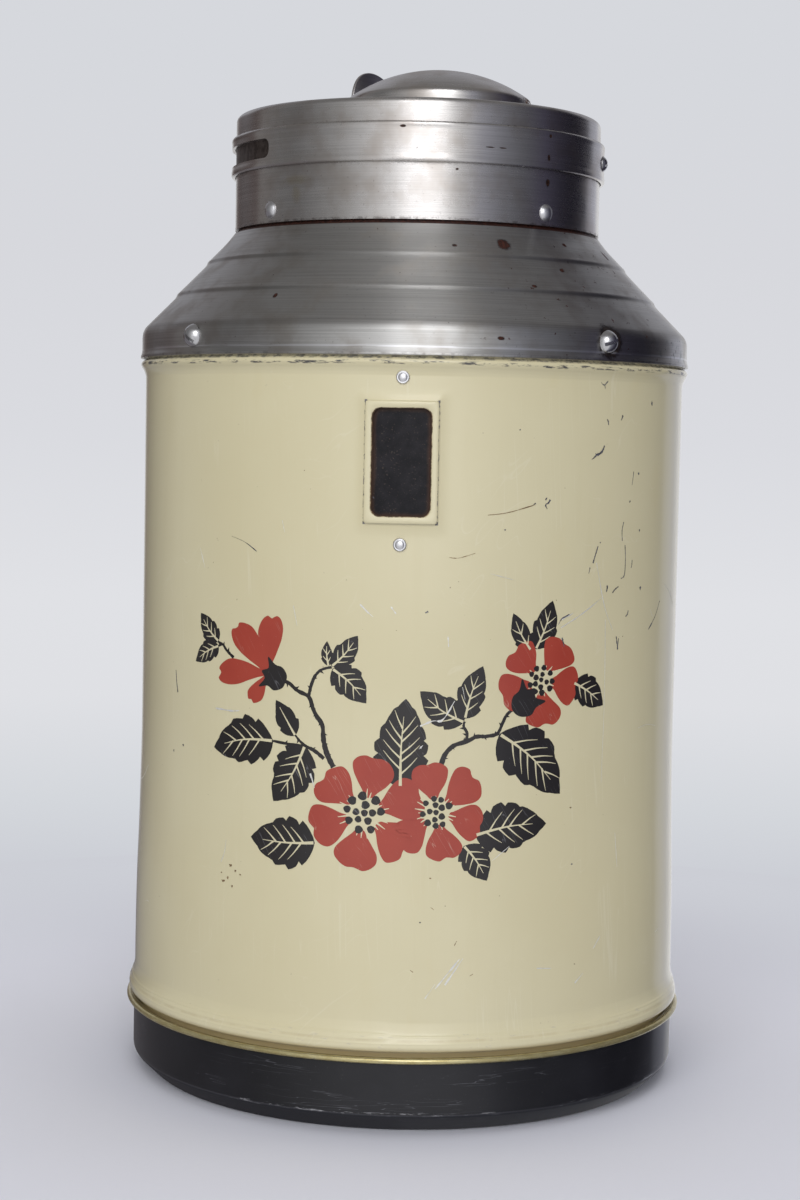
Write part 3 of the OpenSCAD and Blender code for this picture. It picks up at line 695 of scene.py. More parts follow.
def rust_spots_cone(m):
    n1 = m.noise(scale=0.55, detail=5, rough=0.7, off=71)
    right = m.step(m.x, 0.0, 45.0)
    spots = m.step(m.add(n1, m.mul(right, 0.05)), 0.685, 0.73)
    lip = m.mul(m.step(m.z, 194.0, 193.4), m.step(m.noise(scale=0.35, detail=5, rough=0.7, off=75), 0.46, 0.60))
    a = math.radians(SCREW_AZ + 90)
    d = m.math("SQRT", m.add(m.math("POWER", m.sub(m.mul(m.sub(m.az(), a), 74.2), 0.6), 2.0), m.math("POWER", m.sub(m.z, SCREW_Z), 2.0)))
    halo = m.mul(m.step(m.add(d, m.mul(m.sub(n1, 0.5), 3.5)), 5.2, 3.2), 0.55)
    mask = m.math("MAXIMUM", m.mul(spots, 0.85), m.math("MAXIMUM", m.mul(lip, 0.22), halo))
    for az, z, r, a2, b in ((24, 222, 54.1, 2.4, 1.9), (10, 221.2, 54.8, 0.9, 0.5), (46, 223.2, 52.9, 1.0, 0.6), (66.5, 221.7, 54.3, 0.9, 1.6), (38.5, 216, 59.4, 1.0, 0.6),
                            (27.5, 211.2, 64.1, 1.0, 0.5), (16.5, 197.5, 74.2, 1.2, 0.6), (80.5, 213.2, 62.1, 1.0, 1.5), (81, 207, 67.7, 1.0, 2.0), (-31.5, 207.7, 67, 0.8, 0.8)):
        mask = m.math("MAXIMUM", mask, m.mul(m.dot(math.radians(az) * r, z, a2, b, soft=0.6, radius=r), 0.8))
    mask = m.math("MAXIMUM", mask, m.mul(m.step(m.z, 226.75, 227.1), 0.7))
    col = m.mix(m.step(m.noise(scale=1.5, detail=3, off=73), 0.4, 0.6), (0.024, 0.010, 0.008), (0.070, 0.024, 0.016))
    return mask, col, 0.7


def cone_extra(m, c, rg):
    # rubbed bright line above the lip, painted shade in the folds at the two steps, and a darker band at z 200 to 202
    # where the skirt turns into the cone
    s = m.mul(m.az(), 74.2)
    dash = m.step(m.noise(m.vec(m.mul(s, 0.06), m.mul(m.z, 0.8), 0.0), 1.0, 3, 0.6, off=81), 0.34, 0.50)
    c = m.mix(m.mul(m.mul(m.band(m.z, 195.1, 0.12, 0.25), dash), 0.8), c, (0.85, 0.85, 0.86))
    # painted shade: dark lines in the two step folds
    for z in (209.8, 218.7):
        c = m.mix(m.mul(m.band(m.z, z, 0.15, 0.55), 0.35), c, (0.14, 0.13, 0.12))
    c = m.mix(m.mul(m.step(m.z, 199.6, 200.8), m.mul(m.step(m.z, 202.4, 201.0), 0.25)), c, (0.16, 0.14, 0.13))
    # greenish and brown tarnish at the right of the skirt
    t = m.mul(m.mul(m.band(m.z, 197.0, 2.2, 1.5), m.step(m.az(), 0.85, 1.15)), m.step(m.noise(scale=0.45, detail=4, rough=0.65, off=85), 0.52, 0.64))
    c = m.mix(m.mul(t, 0.45), c, (0.10, 0.16, 0.15))
    return c, m.mixf(dash, rg, rg)


def rust_spots_neck(m):
    n1 = m.noise(scale=0.7, detail=5, rough=0.7, off=47)
    spots = m.step(n1, 0.69, 0.74)
    foot = m.mul(m.step(m.z, 228.9, 228.3), m.step(m.noise(scale=0.4, detail=5, rough=0.7, off=52), 0.42, 0.58))
    ringl = m.mul(m.band(m.z, 242.0, 0.25, 0.3), m.step(n1, 0.45, 0.6))
    mask = m.math("MAXIMUM", m.mul(spots, 0.8), m.math("MAXIMUM", m.mul(foot, 0.30), m.mul(ringl, 0.12)))
    for az, z, a2, b in ((42.5, 239.0, 0.8, 1.3), (11.5, 240.75, 0.5, 0.3)):
        mask = m.math("MAXIMUM", mask, m.mul(m.dot(math.radians(az) * 49.5, z, a2, b, soft=0.5, radius=49.5), 0.85))
    col = m.mix(m.step(m.noise(scale=1.2, detail=3, off=53), 0.4, 0.6), (0.018, 0.009, 0.007), (0.050, 0.020, 0.013))
    return mask, col, 0.7


def neck_extra(m, c, rg):
    # neck wall seen through the ring's slot: painted shade, a dark mottled brown, and a rougher finish
    slot_shade = m.mul(m.band(m.z, SLOT_Z, 2.3, 0.5), m.mul(m.step(m.az(), math.radians(-147), math.radians(-144)), m.step(m.az(), math.radians(-49), math.radians(-51))))
    nn = m.noise(scale=0.5, detail=5, rough=0.7, off=58)
    # painted shade: the neck wall inside the slot darkened to mottled brown
    c = m.mix(m.mul(slot_shade, 0.88), c, m.mix(m.step(nn, 0.4, 0.62), (0.07, 0.048, 0.035), (0.20, 0.165, 0.14)))
    st = m.math("MAXIMUM", m.dot(math.radians(-39) * 49.5, 238.4, 5.6, 1.9, soft=0.8, radius=49.5), m.dot(math.radians(-39) * 49.5, 235.0, 2.2, 3.2, soft=0.8, radius=49.5))
    c = m.mix(m.mul(st, 0.35), c, (0.55, 0.45, 0.25))
    return c, m.mixf(slot_shade, rg, 0.5)


def rust_spots_ring(m):
    n1 = m.noise(scale=0.7, detail=5, rough=0.72, off=147)
    mask = m.mul(m.step(n1, 0.70, 0.75), 0.85)
    for az, z, a, b in ((-4.5, 251.0, 1.0, 0.45), (42, 250.75, 0.6, 0.6), (41.5, 245.25, 0.6, 1.0), (21, 246.5, 1.5, 0.2), (25, 246.5, 1.3, 0.2)):
        mask = m.math("MAXIMUM", mask, m.mul(m.dot(math.radians(az) * 50.6, z, a, b, soft=0.5, radius=50.6), 0.85))
    top = m.mul(m.step(m.z, 252.1, 252.35), m.step(m.noise(scale=0.5, detail=5, rough=0.7, off=149), 0.52, 0.62))
    mask = m.math("MAXIMUM", mask, m.mul(top, 0.5))
    col = m.mix(m.step(m.noise(scale=1.2, detail=3, off=153), 0.4, 0.6), (0.016, 0.009, 0.008), (0.045, 0.019, 0.013))
    return mask, col, 0.65


def rust_spots_dome(m):
    n1 = m.noise(scale=0.9, detail=5, rough=0.72, off=247)
    mask = m.mul(m.step(n1, 0.68, 0.73), 0.8)
    lip = m.mul(m.step(m.z, 260.4, 259.4), m.step(m.noise(scale=0.5, detail=5, rough=0.7, off=249), 0.40, 0.60))
    right = m.mul(m.mul(m.band(m.z, 263.2, 1.0, 0.6), m.step(m.x, 27.0, 29.0)), m.step(n1, 0.40, 0.52))
    mask = m.math("MAXIMUM", mask, m.math("MAXIMUM", m.mul(lip, 0.6), m.mul(right, 0.85)))
    col = m.mix(m.step(m.noise(scale=1.4, detail=3, off=253), 0.4, 0.6), (0.040, 0.024, 0.018), (0.15, 0.075, 0.035))
    return mask, col, 0.65


STEEL = (0.585, 0.58, 0.56)
cream_mat = enamel()
cream_line_mat = ink("cream_print", tuple(q * 0.99 for q in CREAM), tuple(q * 1.01 for q in CREAM), (0.8, 0.79, 0.72))
red_mat = ink("red_print", (0.315, 0.040, 0.024), (0.345, 0.048, 0.028), (0.55, 0.36, 0.28))
leaf_mat = ink("black_print", (0.0115, 0.0095, 0.010), (0.0155, 0.013, 0.013), (0.20, 0.20, 0.22))
chip_mat = chip_metal("chip_dark", (0.045, 0.047, 0.065), (0.14, 0.14, 0.17))
brown_mat = chip_metal("chip_brown", (0.14, 0.075, 0.035), (0.30, 0.21, 0.12))
scratch_mat = chip_metal("scratch_light", (0.62, 0.62, 0.62), (0.74, 0.73, 0.68))
cone_mat = brushed("cone_steel", STEEL, 0.35, 0.96, 0.18, rust_spots_cone, extra=cone_extra)
neck_mat = brushed("neck_steel", (0.66, 0.64, 0.62), 0.27, 0.93, 0.12, rust_spots_neck, extra=neck_extra)
ring_mat = brushed("ring_steel", (0.68, 0.66, 0.64), 0.26, 0.90, 0.12, rust_spots_ring)
dome_mat = brushed("dome_steel", (0.70, 0.68, 0.66), 0.27, 0.50, 0.12, rust_spots_dome, centre=(DOME_X, 0.0))
tab_mat = brushed("tab_steel", (0.70, 0.68, 0.68), 0.40, 0.30, 0.12, rust_spots_dome, centre=(DOME_X, 0.0))
inner_mat = brushed("inner_steel", (0.50, 0.47, 0.44), 0.38, 0.30, 0.15)
screw_mat = plain_metal("screw_steel", (0.72, 0.72, 0.73), 0.22, 0.25)
rivet_mat = plain_metal("rivet_aluminium", (0.80, 0.80, 0.82), 0.30, 0.25)
small_mat = plain_metal("small_steel", (0.52, 0.50, 0.48), 0.32, 0.4)
pane_mat = dark_pane()
lid_mat = black_lid()
drum_mat = plastic("drum_plastic", (0.085, 0.045, 0.025), (0.13, 0.07, 0.04), 0.4)
fibre_mat = plastic("fibre_washer", (0.40, 0.27, 0.14), (0.50, 0.36, 0.20), 0.7)

# ---------------------------------------------------------------- body shell
LOW_BEAD = [(19.0, 0.45), (20.9, 0.45), (21.1, 1.6), (21.4, 2.25), (21.9, 2.52), (22.5, 2.6), (23.2, 2.52), (24.3, 2.18), (25.3, 1.73), (26.8, 1.33),
            (28.8, 1.1), (31.0, 1.085)]
TOP_BEAD = [(186.5, 0), (187.9, 0), (188.7, 0.15), (189.7, 0.55), (190.6, 1.05), (191.3, 1.28), (192.0, 1.1), (192.5, 0.4), (192.7, 0), (194.0, 0)]


def body_out(z, az):
    """Outer radius of the body; the lower bead's top line has two small jogs."""
    sig = lambda x: 0.5 + 0.5 * math.tanh(x / 2)
    jog = 0.55 * sig(-(az + 2.6) / 0.22) * sig((az + 62) / 3.0)
    jog += 0.45 * sig((az - 41.0) / 0.25) * sig((96 - az) / 3.0)
    w = min(max((z - 23.6) / 0.9, 0), 1)
    q = z - jog * w
    d = float(pchip(FLARE, z)) if 28.8 < z < 95 else 0.0
    if z <= 18.5:
        d = 0.45
    if 18.5 < z < 30.5:
        d = float(pchip(LOW_BEAD, q))
        d += 0.11 * math.exp(-(((q - 25.15) / 0.26) ** 2)) + 0.05 * math.exp(-(((z - 23.45) / 0.25) ** 2)) - 0.05 * math.exp(-(((z - 24.3) / 0.35) ** 2))
        d = min(d, 2.64)
    elif z > 186:
        d = float(pchip(TOP_BEAD, z)) + 0.02 * math.exp(-(((z - 191.3) / 0.2) ** 2))
    # hand-made sheet is never quite true
    d += 0.02 * math.sin(math.radians(3 * az + 20)) * math.sin(z / 41.0) if 30 < z < 186 else 0.0
    return BODY_R + d


def body_in(z):
    if z < 30:
        return BODY_R + float(pchip([(5.9, -0.35), (21.65, -0.35), (22.0, 1.3), (22.4, 1.75), (23.0, 1.75), (24.2, 1.3), (26.4, 0.55), (28.4, 0.3), (31, 0.27)], z))
    if z < 95:
        return BODY_R + float(pchip(FLARE, z)) - 0.8
    return BODY_R + float(pchip([(29.9, -0.8), (188.0, -0.8), (188.9, -0.65), (189.9, -0.25), (190.8, 0.25), (191.3, 0.45), (191.7, 0.3), (192.2, -0.8), (200.0, -0.8)], z))


def body_mesh():
    PW, PH, m, nx, nz = 13.0, 18.4, 6, 34, 58
    # boundary positions: finer in the corners
    def side(half, n):
        left = [-half + 4.2 * i / m for i in range(m)]
        mid = list(np.linspace(-half + 4.2, half - 4.2, n - 2 * m + 1))
        return left + mid + [-x for x in left[::-1]]

    sx, sz = side(PW, nx), side(PH, nz)
    deg = math.degrees(1 / BODY_R)
    pcols = [WIN_AZ + s * deg for s in sx]
    rest = list(np.linspace(pcols[-1], pcols[0] + 360, 320)[1:-1])
    cols = pcols + rest
    prow = [WIN_Z + z for z in sz]
    z = [5.9, 6.1] + list(np.linspace(8, 20.4, 6)) + list(np.arange(20.8, 28.9, 0.1)) + list(np.linspace(30.5, prow[0] - 2, 40))
    z += prow
    z += list(np.linspace(prow[-1] + 0.6, 187.4, 4)) + list(np.arange(187.7, 193.0, 0.11)) + list(np.linspace(193.5, 199.7, 6)) + [199.9]
    r0 = z.index(prow[0])
    C, R = len(cols), len(z)
    v, oid, iid = [], {}, {}
    for i, a in enumerate(cols):
        azn = (a + 180) % 360 - 180
        for k, q in enumerate(z):
            if 0 < i < nx and r0 < k < r0 + nz:
                continue
            oid[i, k] = len(v)
            v.append(cyl(a, body_out(q, azn), q))
            iid[i, k] = len(v)
            v.append(cyl(a, body_in(q), q))
    f = []
    for i in range(C):
        j = (i + 1) % C
        for k in range(R - 1):
            if i < nx and r0 <= k < r0 + nz:
                continue
            f.append((oid[i, k], oid[j, k], oid[j, k + 1], oid[i, k + 1]))
            f.append((iid[i, k], iid[i, k + 1], iid[j, k + 1], iid[j, k]))
        f.append((oid[i, 0], iid[i, 0], iid[j, 0], oid[j, 0]))
        f.append((oid[i, R - 1], oid[j, R - 1], iid[j, R - 1], iid[i, R - 1]))

    def loop(hw, hh, rc):
        pts = []

        def run(n, half, fn):
            for i in range(n):
                if i < m:
                    a = 45 * (i / m)
                    x, y = -half + rc - rc * math.cos(math.radians(45 + a)), rc - rc * math.sin(math.radians(45 + a))
                elif i <= n - m:
                    x = -half + rc + (2 * half - 2 * rc) * (i - m) / (n - 2 * m)
                    y = 0.0
                else:
                    a = 45 * ((n - i) / m)
                    x, y = half - rc + rc * math.cos(math.radians(45 + a)), rc - rc * math.sin(math.radians(45 + a))
                pts.append(fn(x, y))

        run(nx, hw, lambda x, y: (x, -hh + y))
        run(nz, hh, lambda x, y: (hw - y, x))
        run(nx, hw, lambda x, y: (-x, hh - y))
        run(nz, hh, lambda x, y: (-hw + y, -x))
        return pts

    per = [(i, r0) for i in range(nx)] + [(nx, r0 + k) for k in range(nz)]
    per += [(nx - i, r0 + nz) for i in range(nx)] + [(0, r0 + nz - k) for k in range(nz)]
    L = [
        (7.15, 13.15, 2.1, -0.78), (7.15, 13.15, 2.1, 0.55), (7.20, 13.20, 2.15, 0.86), (7.34, 13.34, 2.2, 1.08), (7.55, 13.55, 2.3, 1.19),
        (8.35, 14.35, 1.7, 1.19), (8.74, 14.74, 1.1, 1.15), (8.94, 14.94, 0.85, 1.02), (9.02, 15.02, 0.75, 0.78), (9.05, 15.05, 0.7, 0.42),
        (9.13, 15.13, 0.75, 0.38), (9.5, 15.5, 0.9, 0.33), (10.1, 16.1, 1.2, 0.22), (11.0, 17.0, 1.5, 0.07), (12.1, 17.8, 1.4, 0.01),
    ]
    prev_o = [oid[p] for p in per]
    prev_i = [iid[p] for p in per]
    n = len(per)
    for hw, hh, rc, d in L[::-1]:
        lp = loop(hw, hh, rc)
        co, ci = [], []
        for s, zz in lp:
            a = WIN_AZ + s * deg
            co.append(len(v))
            v.append(cyl(a, BODY_R + d, WIN_Z + zz))
            ci.append(len(v))
            v.append(cyl(a, BODY_R - 0.8, WIN_Z + zz))
        if d == -0.78:
            ci = prev_i
        for i in range(n):
            j = (i + 1) % n
            f.append((prev_o[i], prev_o[j], co[j], co[i]))
            if ci is not prev_i:
                f.append((prev_i[i], ci[i], ci[j], prev_i[j]))
        prev_o, prev_i = co, ci
    for i in range(n):
        j = (i + 1) % n
        f.append((prev_o[i], prev_o[j], prev_i[j], prev_i[i]))
    used = sorted({i for g in f for i in g})
    new = {o: k for k, o in enumerate(used)}
    return [v[o] for o in used], [tuple(new[i] for i in g) for g in f]


bv, bf = body_mesh()
build("canister_body", bv, bf, "canister", cream_mat, ["body_shell"], sharp=50)

# ---------------------------------------------------------------- base lid
lid = [(0, 1.6), (63.7, 1.6), (64.6, 1.0), (65.4, 0), (69.0, 0), (69.6, 0.2), (74.0, 4.4), (74.4, 5.1), (74.5, 5.9), (74.5, 18.35)]
lid = rounded(lid, [0, 0.5, 0.4, 0.4, 0.3, 0.3, 0.4, 0.35, 0.5, 0], k=3, closed=False)
arc = [(75.56 + 0.85 * math.cos(math.radians(t)), 19.2 + 0.85 * math.sin(math.radians(t))) for t in np.linspace(217, 515, 34)]
inner = [(74.2, 19.55), (74.0, 19.3), (74.0, 6.1), (73.85, 5.4), (73.5, 4.8), (69.1, 0.75), (68.7, 0.55), (65.7, 0.5), (65.0, 1.4), (64.0, 2.1), (0, 2.1)]
lid = lid + arc + rounded(inner, 0.3, k=2, closed=False)
lv, lf = lathe(lid, 384)
build("base_lid_visual", lv, lf, "lid", lid_mat, ["base_lid"], sharp=45)

# ---------------------------------------------------------------- shoulder cone
o = SKIRT_RO
outer = [
    (o + 0.4, 193.0), (o + 0.4, 193.5), (o + 0.1, 194.4), (o, 195.2), (o, 198.9), (o - 0.2, 200.0), (o - 0.8, 201.2),
    (65.8, 208.9), (65.3, 209.5), (64.9, 210.5), (64.3, 211.0), (57.8, 217.6), (57.2, 218.3), (56.8, 219.3), (56.2, 219.8),
    (52.0, 224.1), (50.4, 226.1), (49.6, 227.2), (48.7, 227.6), (48.5, 227.9), (48.5, 237.0), (47.7, 237.0), (47.7, 227.6),
    (48.0, 227.1), (49.3, 225.9), (51.4, 223.4), (55.6, 219.1), (56.2, 218.6), (56.6, 217.7), (57.2, 217.0),
    (63.7, 210.3), (64.3, 209.8), (64.7, 208.9), (65.2, 208.2), (o - 1.6, 200.9), (o - 0.95, 200.1), (o - 0.8, 199.2),
    (o - 0.8, 195.0), (o - 0.55, 194.0), (o - 0.4, 193.3), (o - 0.4, 193.0),
]
rad = [0.15, 0.3, 0.5, 0.8, 1.0, 0.7, 0.8, 0.5, 0.4, 0.4, 0.5, 0.5, 0.4, 0.4, 0.5, 1.2, 0.9, 0.5, 0.2, 0.1, 0.1, 0.1] + [0.3] * 19
cv, cf = lathe(rounded(outer, rad, k=4), 360)
build("shoulder_visual", cv, cf, "canister", cone_mat, ["shoulder_cone"], sharp=40)

# ---------------------------------------------------------------- neck: wall with its hidden slot, rounded edge, disc
g = Geo()
g.add(*band(lambda z: NECK_R, lambda z: NECK_RI, 228.0, 252.3, slot=(DRIVE_AZ - TURN - 1.9, DRIVE_AZ + 1.9, SLOT_Z, 3.3, 1.6), n=300, rows=(8, 6, 6)))
EDGE = NECK_TOP - 1.6
top = [(NECK_R, 252.3), (NECK_R, 255.2), (NECK_R - 0.03, EDGE)]
top += [(NECK_R - 1.6 + 1.57 * math.cos(t), EDGE + 1.6 * math.sin(t)) for t in np.linspace(0.12, math.pi / 2, 12)]
top += [(42.004, NECK_TOP), (42.004, NECK_TOP - 0.8), (47.9, NECK_TOP - 0.8)]
top += [(NECK_R - 1.6 + 0.8 * math.cos(t), EDGE + 0.8 * math.sin(t)) for t in np.linspace(math.pi / 2 - 0.1, 0, 8)]
top += [(NECK_RI, 252.3)]
g.add(*lathe(top, 300))


def circle(cx, cy, r, n):
    return [(cx + r * math.sin(2 * math.pi * i / n), cy - r * math.cos(2 * math.pi * i / n)) for i in range(n)]


g.add(*slab(circle(0, 0, 42.0, 300), lambda x, y, h: (x, y, h), NECK_TOP - 0.8, NECK_TOP, [circle(17.5, 0, 9.5, 72), circle(0, 0, 3.1, 40)], 3.0))
build("neck_visual", g.v, g.f, "canister", neck_mat, ["neck_cup"], sharp=40)

# ---------------------------------------------------------------- turning ring
RING = [
    (242.30, -0.26), (242.36, -0.12), (242.50, 0.03), (242.85, 0.13), (243.3, 0.14), (243.8, 0.08), (244.3, 0.01), (245.0, 0.0),
    (250.9, 0.0), (251.2, 0.04), (251.55, 0.11), (251.85, 0.10), (252.1, 0.01), (252.3, -0.13), (252.40, -0.30),
]
v1, f1 = band(lambda z: RING_RO + float(pchip(RING, z)), lambda z: RING_RI, RING_Z, RING_Z + RING_H,
              slot=(SLOT_A1, SLOT_A2, SLOT_Z, SLOT_H, 2.1), n=300, rows=(18, 6, 18))
build("turning_ring_visual", v1, f1, "meter", ring_mat, ["turning_ring"], sharp=40)


# ---------------------------------------------------------------- screws and rivets
def cap_profile(d, h, base=-0.4, rim=0.12):
    """Round head: soft rim and a domed top, from its axis outward and back."""
    s = (d * d / 4 + h * h) / (2 * h)
    top = [(s * math.sin(t), h - s + s * math.cos(t)) for t in np.linspace(0, math.asin(min(0.999, d / 2 / s)), 14)]
    top = top[:-1] + [(d / 2 - 0.02, rim * 0.9), (d / 2, rim * 0.4)]
    return top + [(d / 2, 0.0), (d / 2 - 0.15, base), (0.0, base)]


def slotted(name, d, h, turn, width, depth, shank_r, shank_l):
    """Round head with a cut slot, edges softened, on its shank."""
    prof = cap_profile(d, h, base=-0.05)
    v, f = lathe(prof, 56)
    me = bpy.data.meshes.new(name)
    me.from_pydata([tuple(c * MM for c in p) for p in v], [], f)
    bm = bmesh.new()
    bm.from_mesh(me)
    bmesh.ops.remove_doubles(bm, verts=bm.verts, dist=1e-7)
    bmesh.ops.recalc_face_normals(bm, faces=bm.faces)
    bm.to_mesh(me)
    bm.free()
    head = bpy.data.objects.new(name + "_h", me)
    bpy.context.scene.collection.objects.link(head)
    cm = bpy.data.meshes.new(name + "_c")
    w, L, z0 = width / 2 * MM, d * MM, (h - depth) * MM
    a = math.radians(turn)
    pts = [(x, y, z) for z in (z0, (h + 2) * MM) for x, y in ((-L, -w), (L, -w), (L, w), (-L, w))]
    pts = [(x * math.cos(a) - y * math.sin(a), x * math.sin(a) + y * math.cos(a), z) for x, y, z in pts]
    cm.from_pydata(pts, [], [(3, 2, 1, 0), (4, 5, 6, 7), (0, 1, 5, 4), (1, 2, 6, 5), (2, 3, 7, 6), (3, 0, 4, 7)])
    cut = bpy.data.objects.new(name + "_c", cm)
    bpy.context.scene.collection.objects.link(cut)
    mod = head.modifiers.new("cut", "BOOLEAN")
    mod.operation, mod.object, mod.solver = "DIFFERENCE", cut, "EXACT"
    bev = head.modifiers.new("soft", "BEVEL")
    bev.width, bev.segments, bev.limit_method, bev.angle_limit = 0.10 * MM, 2, "ANGLE", math.radians(40)
    bpy.context.view_layer.update()
    dg = bpy.context.evaluated_depsgraph_get()
    res = bpy.data.meshes.new_from_object(head.evaluated_get(dg))
    vv = [tuple(c / MM for c in p.co) for p in res.vertices]
    ff = [tuple(p.vertices) for p in res.polygons]
    bpy.data.objects.remove(head)
    bpy.data.objects.remove(cut)
    g = Geo().add(vv, ff)
    g.add(*lathe([(0, -shank_l), (shank_r - 0.2, -shank_l), (shank_r, -shank_l + 0.2), (shank_r, 0.02), (0, 0.02)], 32))
    return g


g = Geo()
for i, turn in enumerate((-42, 18, 60, -10)):
    s = slotted("shoulder_screw", 6.0, 2.3, turn, 0.85, 1.15, 1.5, 7.15)
    g.add(s.v, s.f, radial_matrix(SCREW_AZ + 90 * i, SCREW_Z, SKIRT_RO))
build("shoulder_screws_visual", g.v, g.f, "canister", screw_mat, ["shoulder_screws"], sharp=40)

s = slotted("drive_screw_tmp", 4.2, 1.25, 25, 0.6, 0.6, 1.3, RING_RO - 40.55)
g = Geo().add(s.v, s.f, radial_matrix(DRIVE_AZ, SLOT_Z, RING_RO + 0.02))
build("drive_screw_visual", g.v, g.f, "meter", screw_mat, ["drive_screw"], sharp=40)

g = Geo()
for a in RIVET_TURNS:
    M = radial_matrix(RIVET_AZ + a, RIVET_Z, NECK_R)
    g.add(*lathe(cap_profile(4.5, 1.15, base=-3.2), 48), M)
    g.add(*lathe([(0, -3.75), (1.5, -3.75), (1.7, -3.6), (1.7, -3.2), (1.5, -3.06), (0, -3.06)], 32), M)
build("neck_rivets_visual", g.v, g.f, "canister", rivet_mat, ["neck_rivets"], sharp=40)

# window rivets: flat rim, groove and a small dome
g = Geo()
for z in (146.8, 187.6):
    M = radial_matrix(WIN_AZ, z, BODY_R + 0.03)
    prof = [(0.0, 0.86), (0.40, 0.85), (0.75, 0.79), (1.00, 0.69), (1.13, 0.60), (1.22, 0.57), (1.32, 0.60), (1.42, 0.60),
            (1.55, 0.52), (1.66, 0.35), (1.70, 0.12), (1.68, 0.0), (1.0, -0.02), (1.0, -2.6), (1.7, -2.62), (1.7, -3.2), (1.5, -3.31), (0.0, -3.31)]
    g.add(*lathe(prof, 48), M)
build("window_rivets_visual", g.v, g.f, "canister", rivet_mat, ["window_rivets"], sharp=45)

# ---------------------------------------------------------------- outlet flap
CC = CROWN_Z - math.sqrt(CROWN_R**2 - DOME_R**2)
knee = math.asin((DOME_R - 0.9) / CROWN_R)
crown = [(CROWN_R * math.sin(t), CC + CROWN_R * math.cos(t)) for t in np.linspace(0, knee, 30)]
k0 = crown[-1]
curve = []
for t in np.linspace(0.08, 1, 8):
    p0, p1, p2 = np.array(k0), np.array((DOME_R - 0.02, CROWN_Z + 0.05)), np.array((DOME_R, CROWN_Z - 1.1))
    curve.append(tuple((1 - t) ** 2 * p0 + 2 * t * (1 - t) * p1 + t * t * p2))
F0 = NECK_TOP + 0.6
skirt = [(DOME_R, F0 + 1.0), (DOME_R, F0 + 0.25), (DOME_R - 0.1, F0 + 0.04), (DOME_R - 0.35, F0), (DOME_R - 0.6, F0 + 0.04), (DOME_R - 0.7, F0 + 0.25)]
ri = CROWN_R - 0.7
kin = math.asin((DOME_R - 1.7) / ri)
inn = [(DOME_R - 0.7, CROWN_Z - 1.4), (DOME_R - 0.85, CROWN_Z - 0.85), (DOME_R - 1.25, CROWN_Z - 0.35)]
inn += [(ri * math.sin(t), CC + ri * math.cos(t)) for t in np.linspace(kin, 0, 26)]
g = Geo().add(*lathe(crown + curve + skirt + inn, 220, DOME_X))
# frame of the hinge: X towards the flap, Y along the pin
BR = (
    Matrix.Translation((DOME_X, 0, 0)) @ Matrix.Rotation(math.radians(HINGE_AZ), 4, "Z")
    @ Matrix.Translation((0, -HINGE_D, HINGE_Z)) @ Matrix.Rotation(math.radians(-90), 4, "Z") @ Matrix.Scale(-1, 4, Vector((1, 0, 0)))
)
ALONG = BR @ Matrix.Rotation(math.radians(-90), 4, "X")
kn = rounded([(0.86, -2.9), (1.4, -2.9), (1.4, 2.9), (0.86, 2.9)], 0.16, k=3)
g.add(*lathe(kn, 48), ALONG)
leaf = [(x, y, z) for z in (-0.35, 0.35) for x, y in ((1.25, -2.9), (2.42, -2.9), (2.42, 2.9), (1.25, 2.9))]
g.add(leaf, [(3, 2, 1, 0), (4, 5, 6, 7), (0, 1, 5, 4), (1, 2, 6, 5), (2, 3, 7, 6), (3, 0, 4, 7)], BR)
build("flap_visual", g.v, g.f, "spout_flap", dome_mat, ["flap_dome"], sharp=40)

# thumb tab: round-topped plate bent round the flap
poly = []
z_cut = NECK_TOP + 0.9 - TAB_Z
t0 = math.asin(z_cut / TAB_R)
for t in np.linspace(t0, math.pi - t0, 90):
    poly.append((TAB_R * math.cos(t), TAB_R * math.sin(t)))
xl, xr = poly[-1][0], poly[0][0]
poly += [(x, z_cut) for x in np.linspace(xl, xr, 26)[1:-1]]


def tab_place(x, y, h):
    c = math.radians(TAB_AZ)
    rr = DOME_R + 0.41
    ang = math.asin(max(-0.999, min(0.999, x / rr))) + c
    return (DOME_X + h * math.sin(ang), -h * math.cos(ang), TAB_Z + y)


tv, tf = bevel_slab(poly, tab_place, DOME_R + 0.03, DOME_R + 0.79, 0.16, 1.0)
build("thumb_tab_visual", tv, tf, "spout_flap", tab_mat, ["thumb_tab"], sharp=60)

# ---------------------------------------------------------------- printed flowers and leaves
def on_body(x, y, h):
    return cyl(math.degrees(x / BODY_R), BODY_R + h + (float(pchip(FLARE, y)) if 28.8 < y < 95 else 0.0), y)


def smooth_loop(pts, k=6):
    """Closed curve through points (Catmull-Rom)."""
    p, n, out = np.asarray(pts, float), len(pts), []
    for i in range(n):
        a, b, c, d = p[i - 1], p[i], p[(i + 1) % n], p[(i + 2) % n]
        for j in range(k):
            t = j / k
            out.append(tuple(0.5 * (2 * b + (c - a) * t + (2 * a - 5 * b + 4 * c - d) * t * t + (3 * b - a - 3 * c + d) * t**3)))
    return out


def smooth_line(pts, k=6):
    p = [np.array(q, float) for q in pts]
    p = [2 * p[0] - p[1]] + p + [2 * p[-1] - p[-2]]
    out = []
    for i in range(1, len(p) - 2):
        a, b, c, d = p[i - 1], p[i], p[i + 1], p[i + 2]
        for j in range(k):
            t = j / k
            out.append(0.5 * (2 * b + (c - a) * t + (2 * a - 5 * b + 4 * c - d) * t * t + (3 * b - a - 3 * c + d) * t**3))
    out.append(p[-2])
    return out


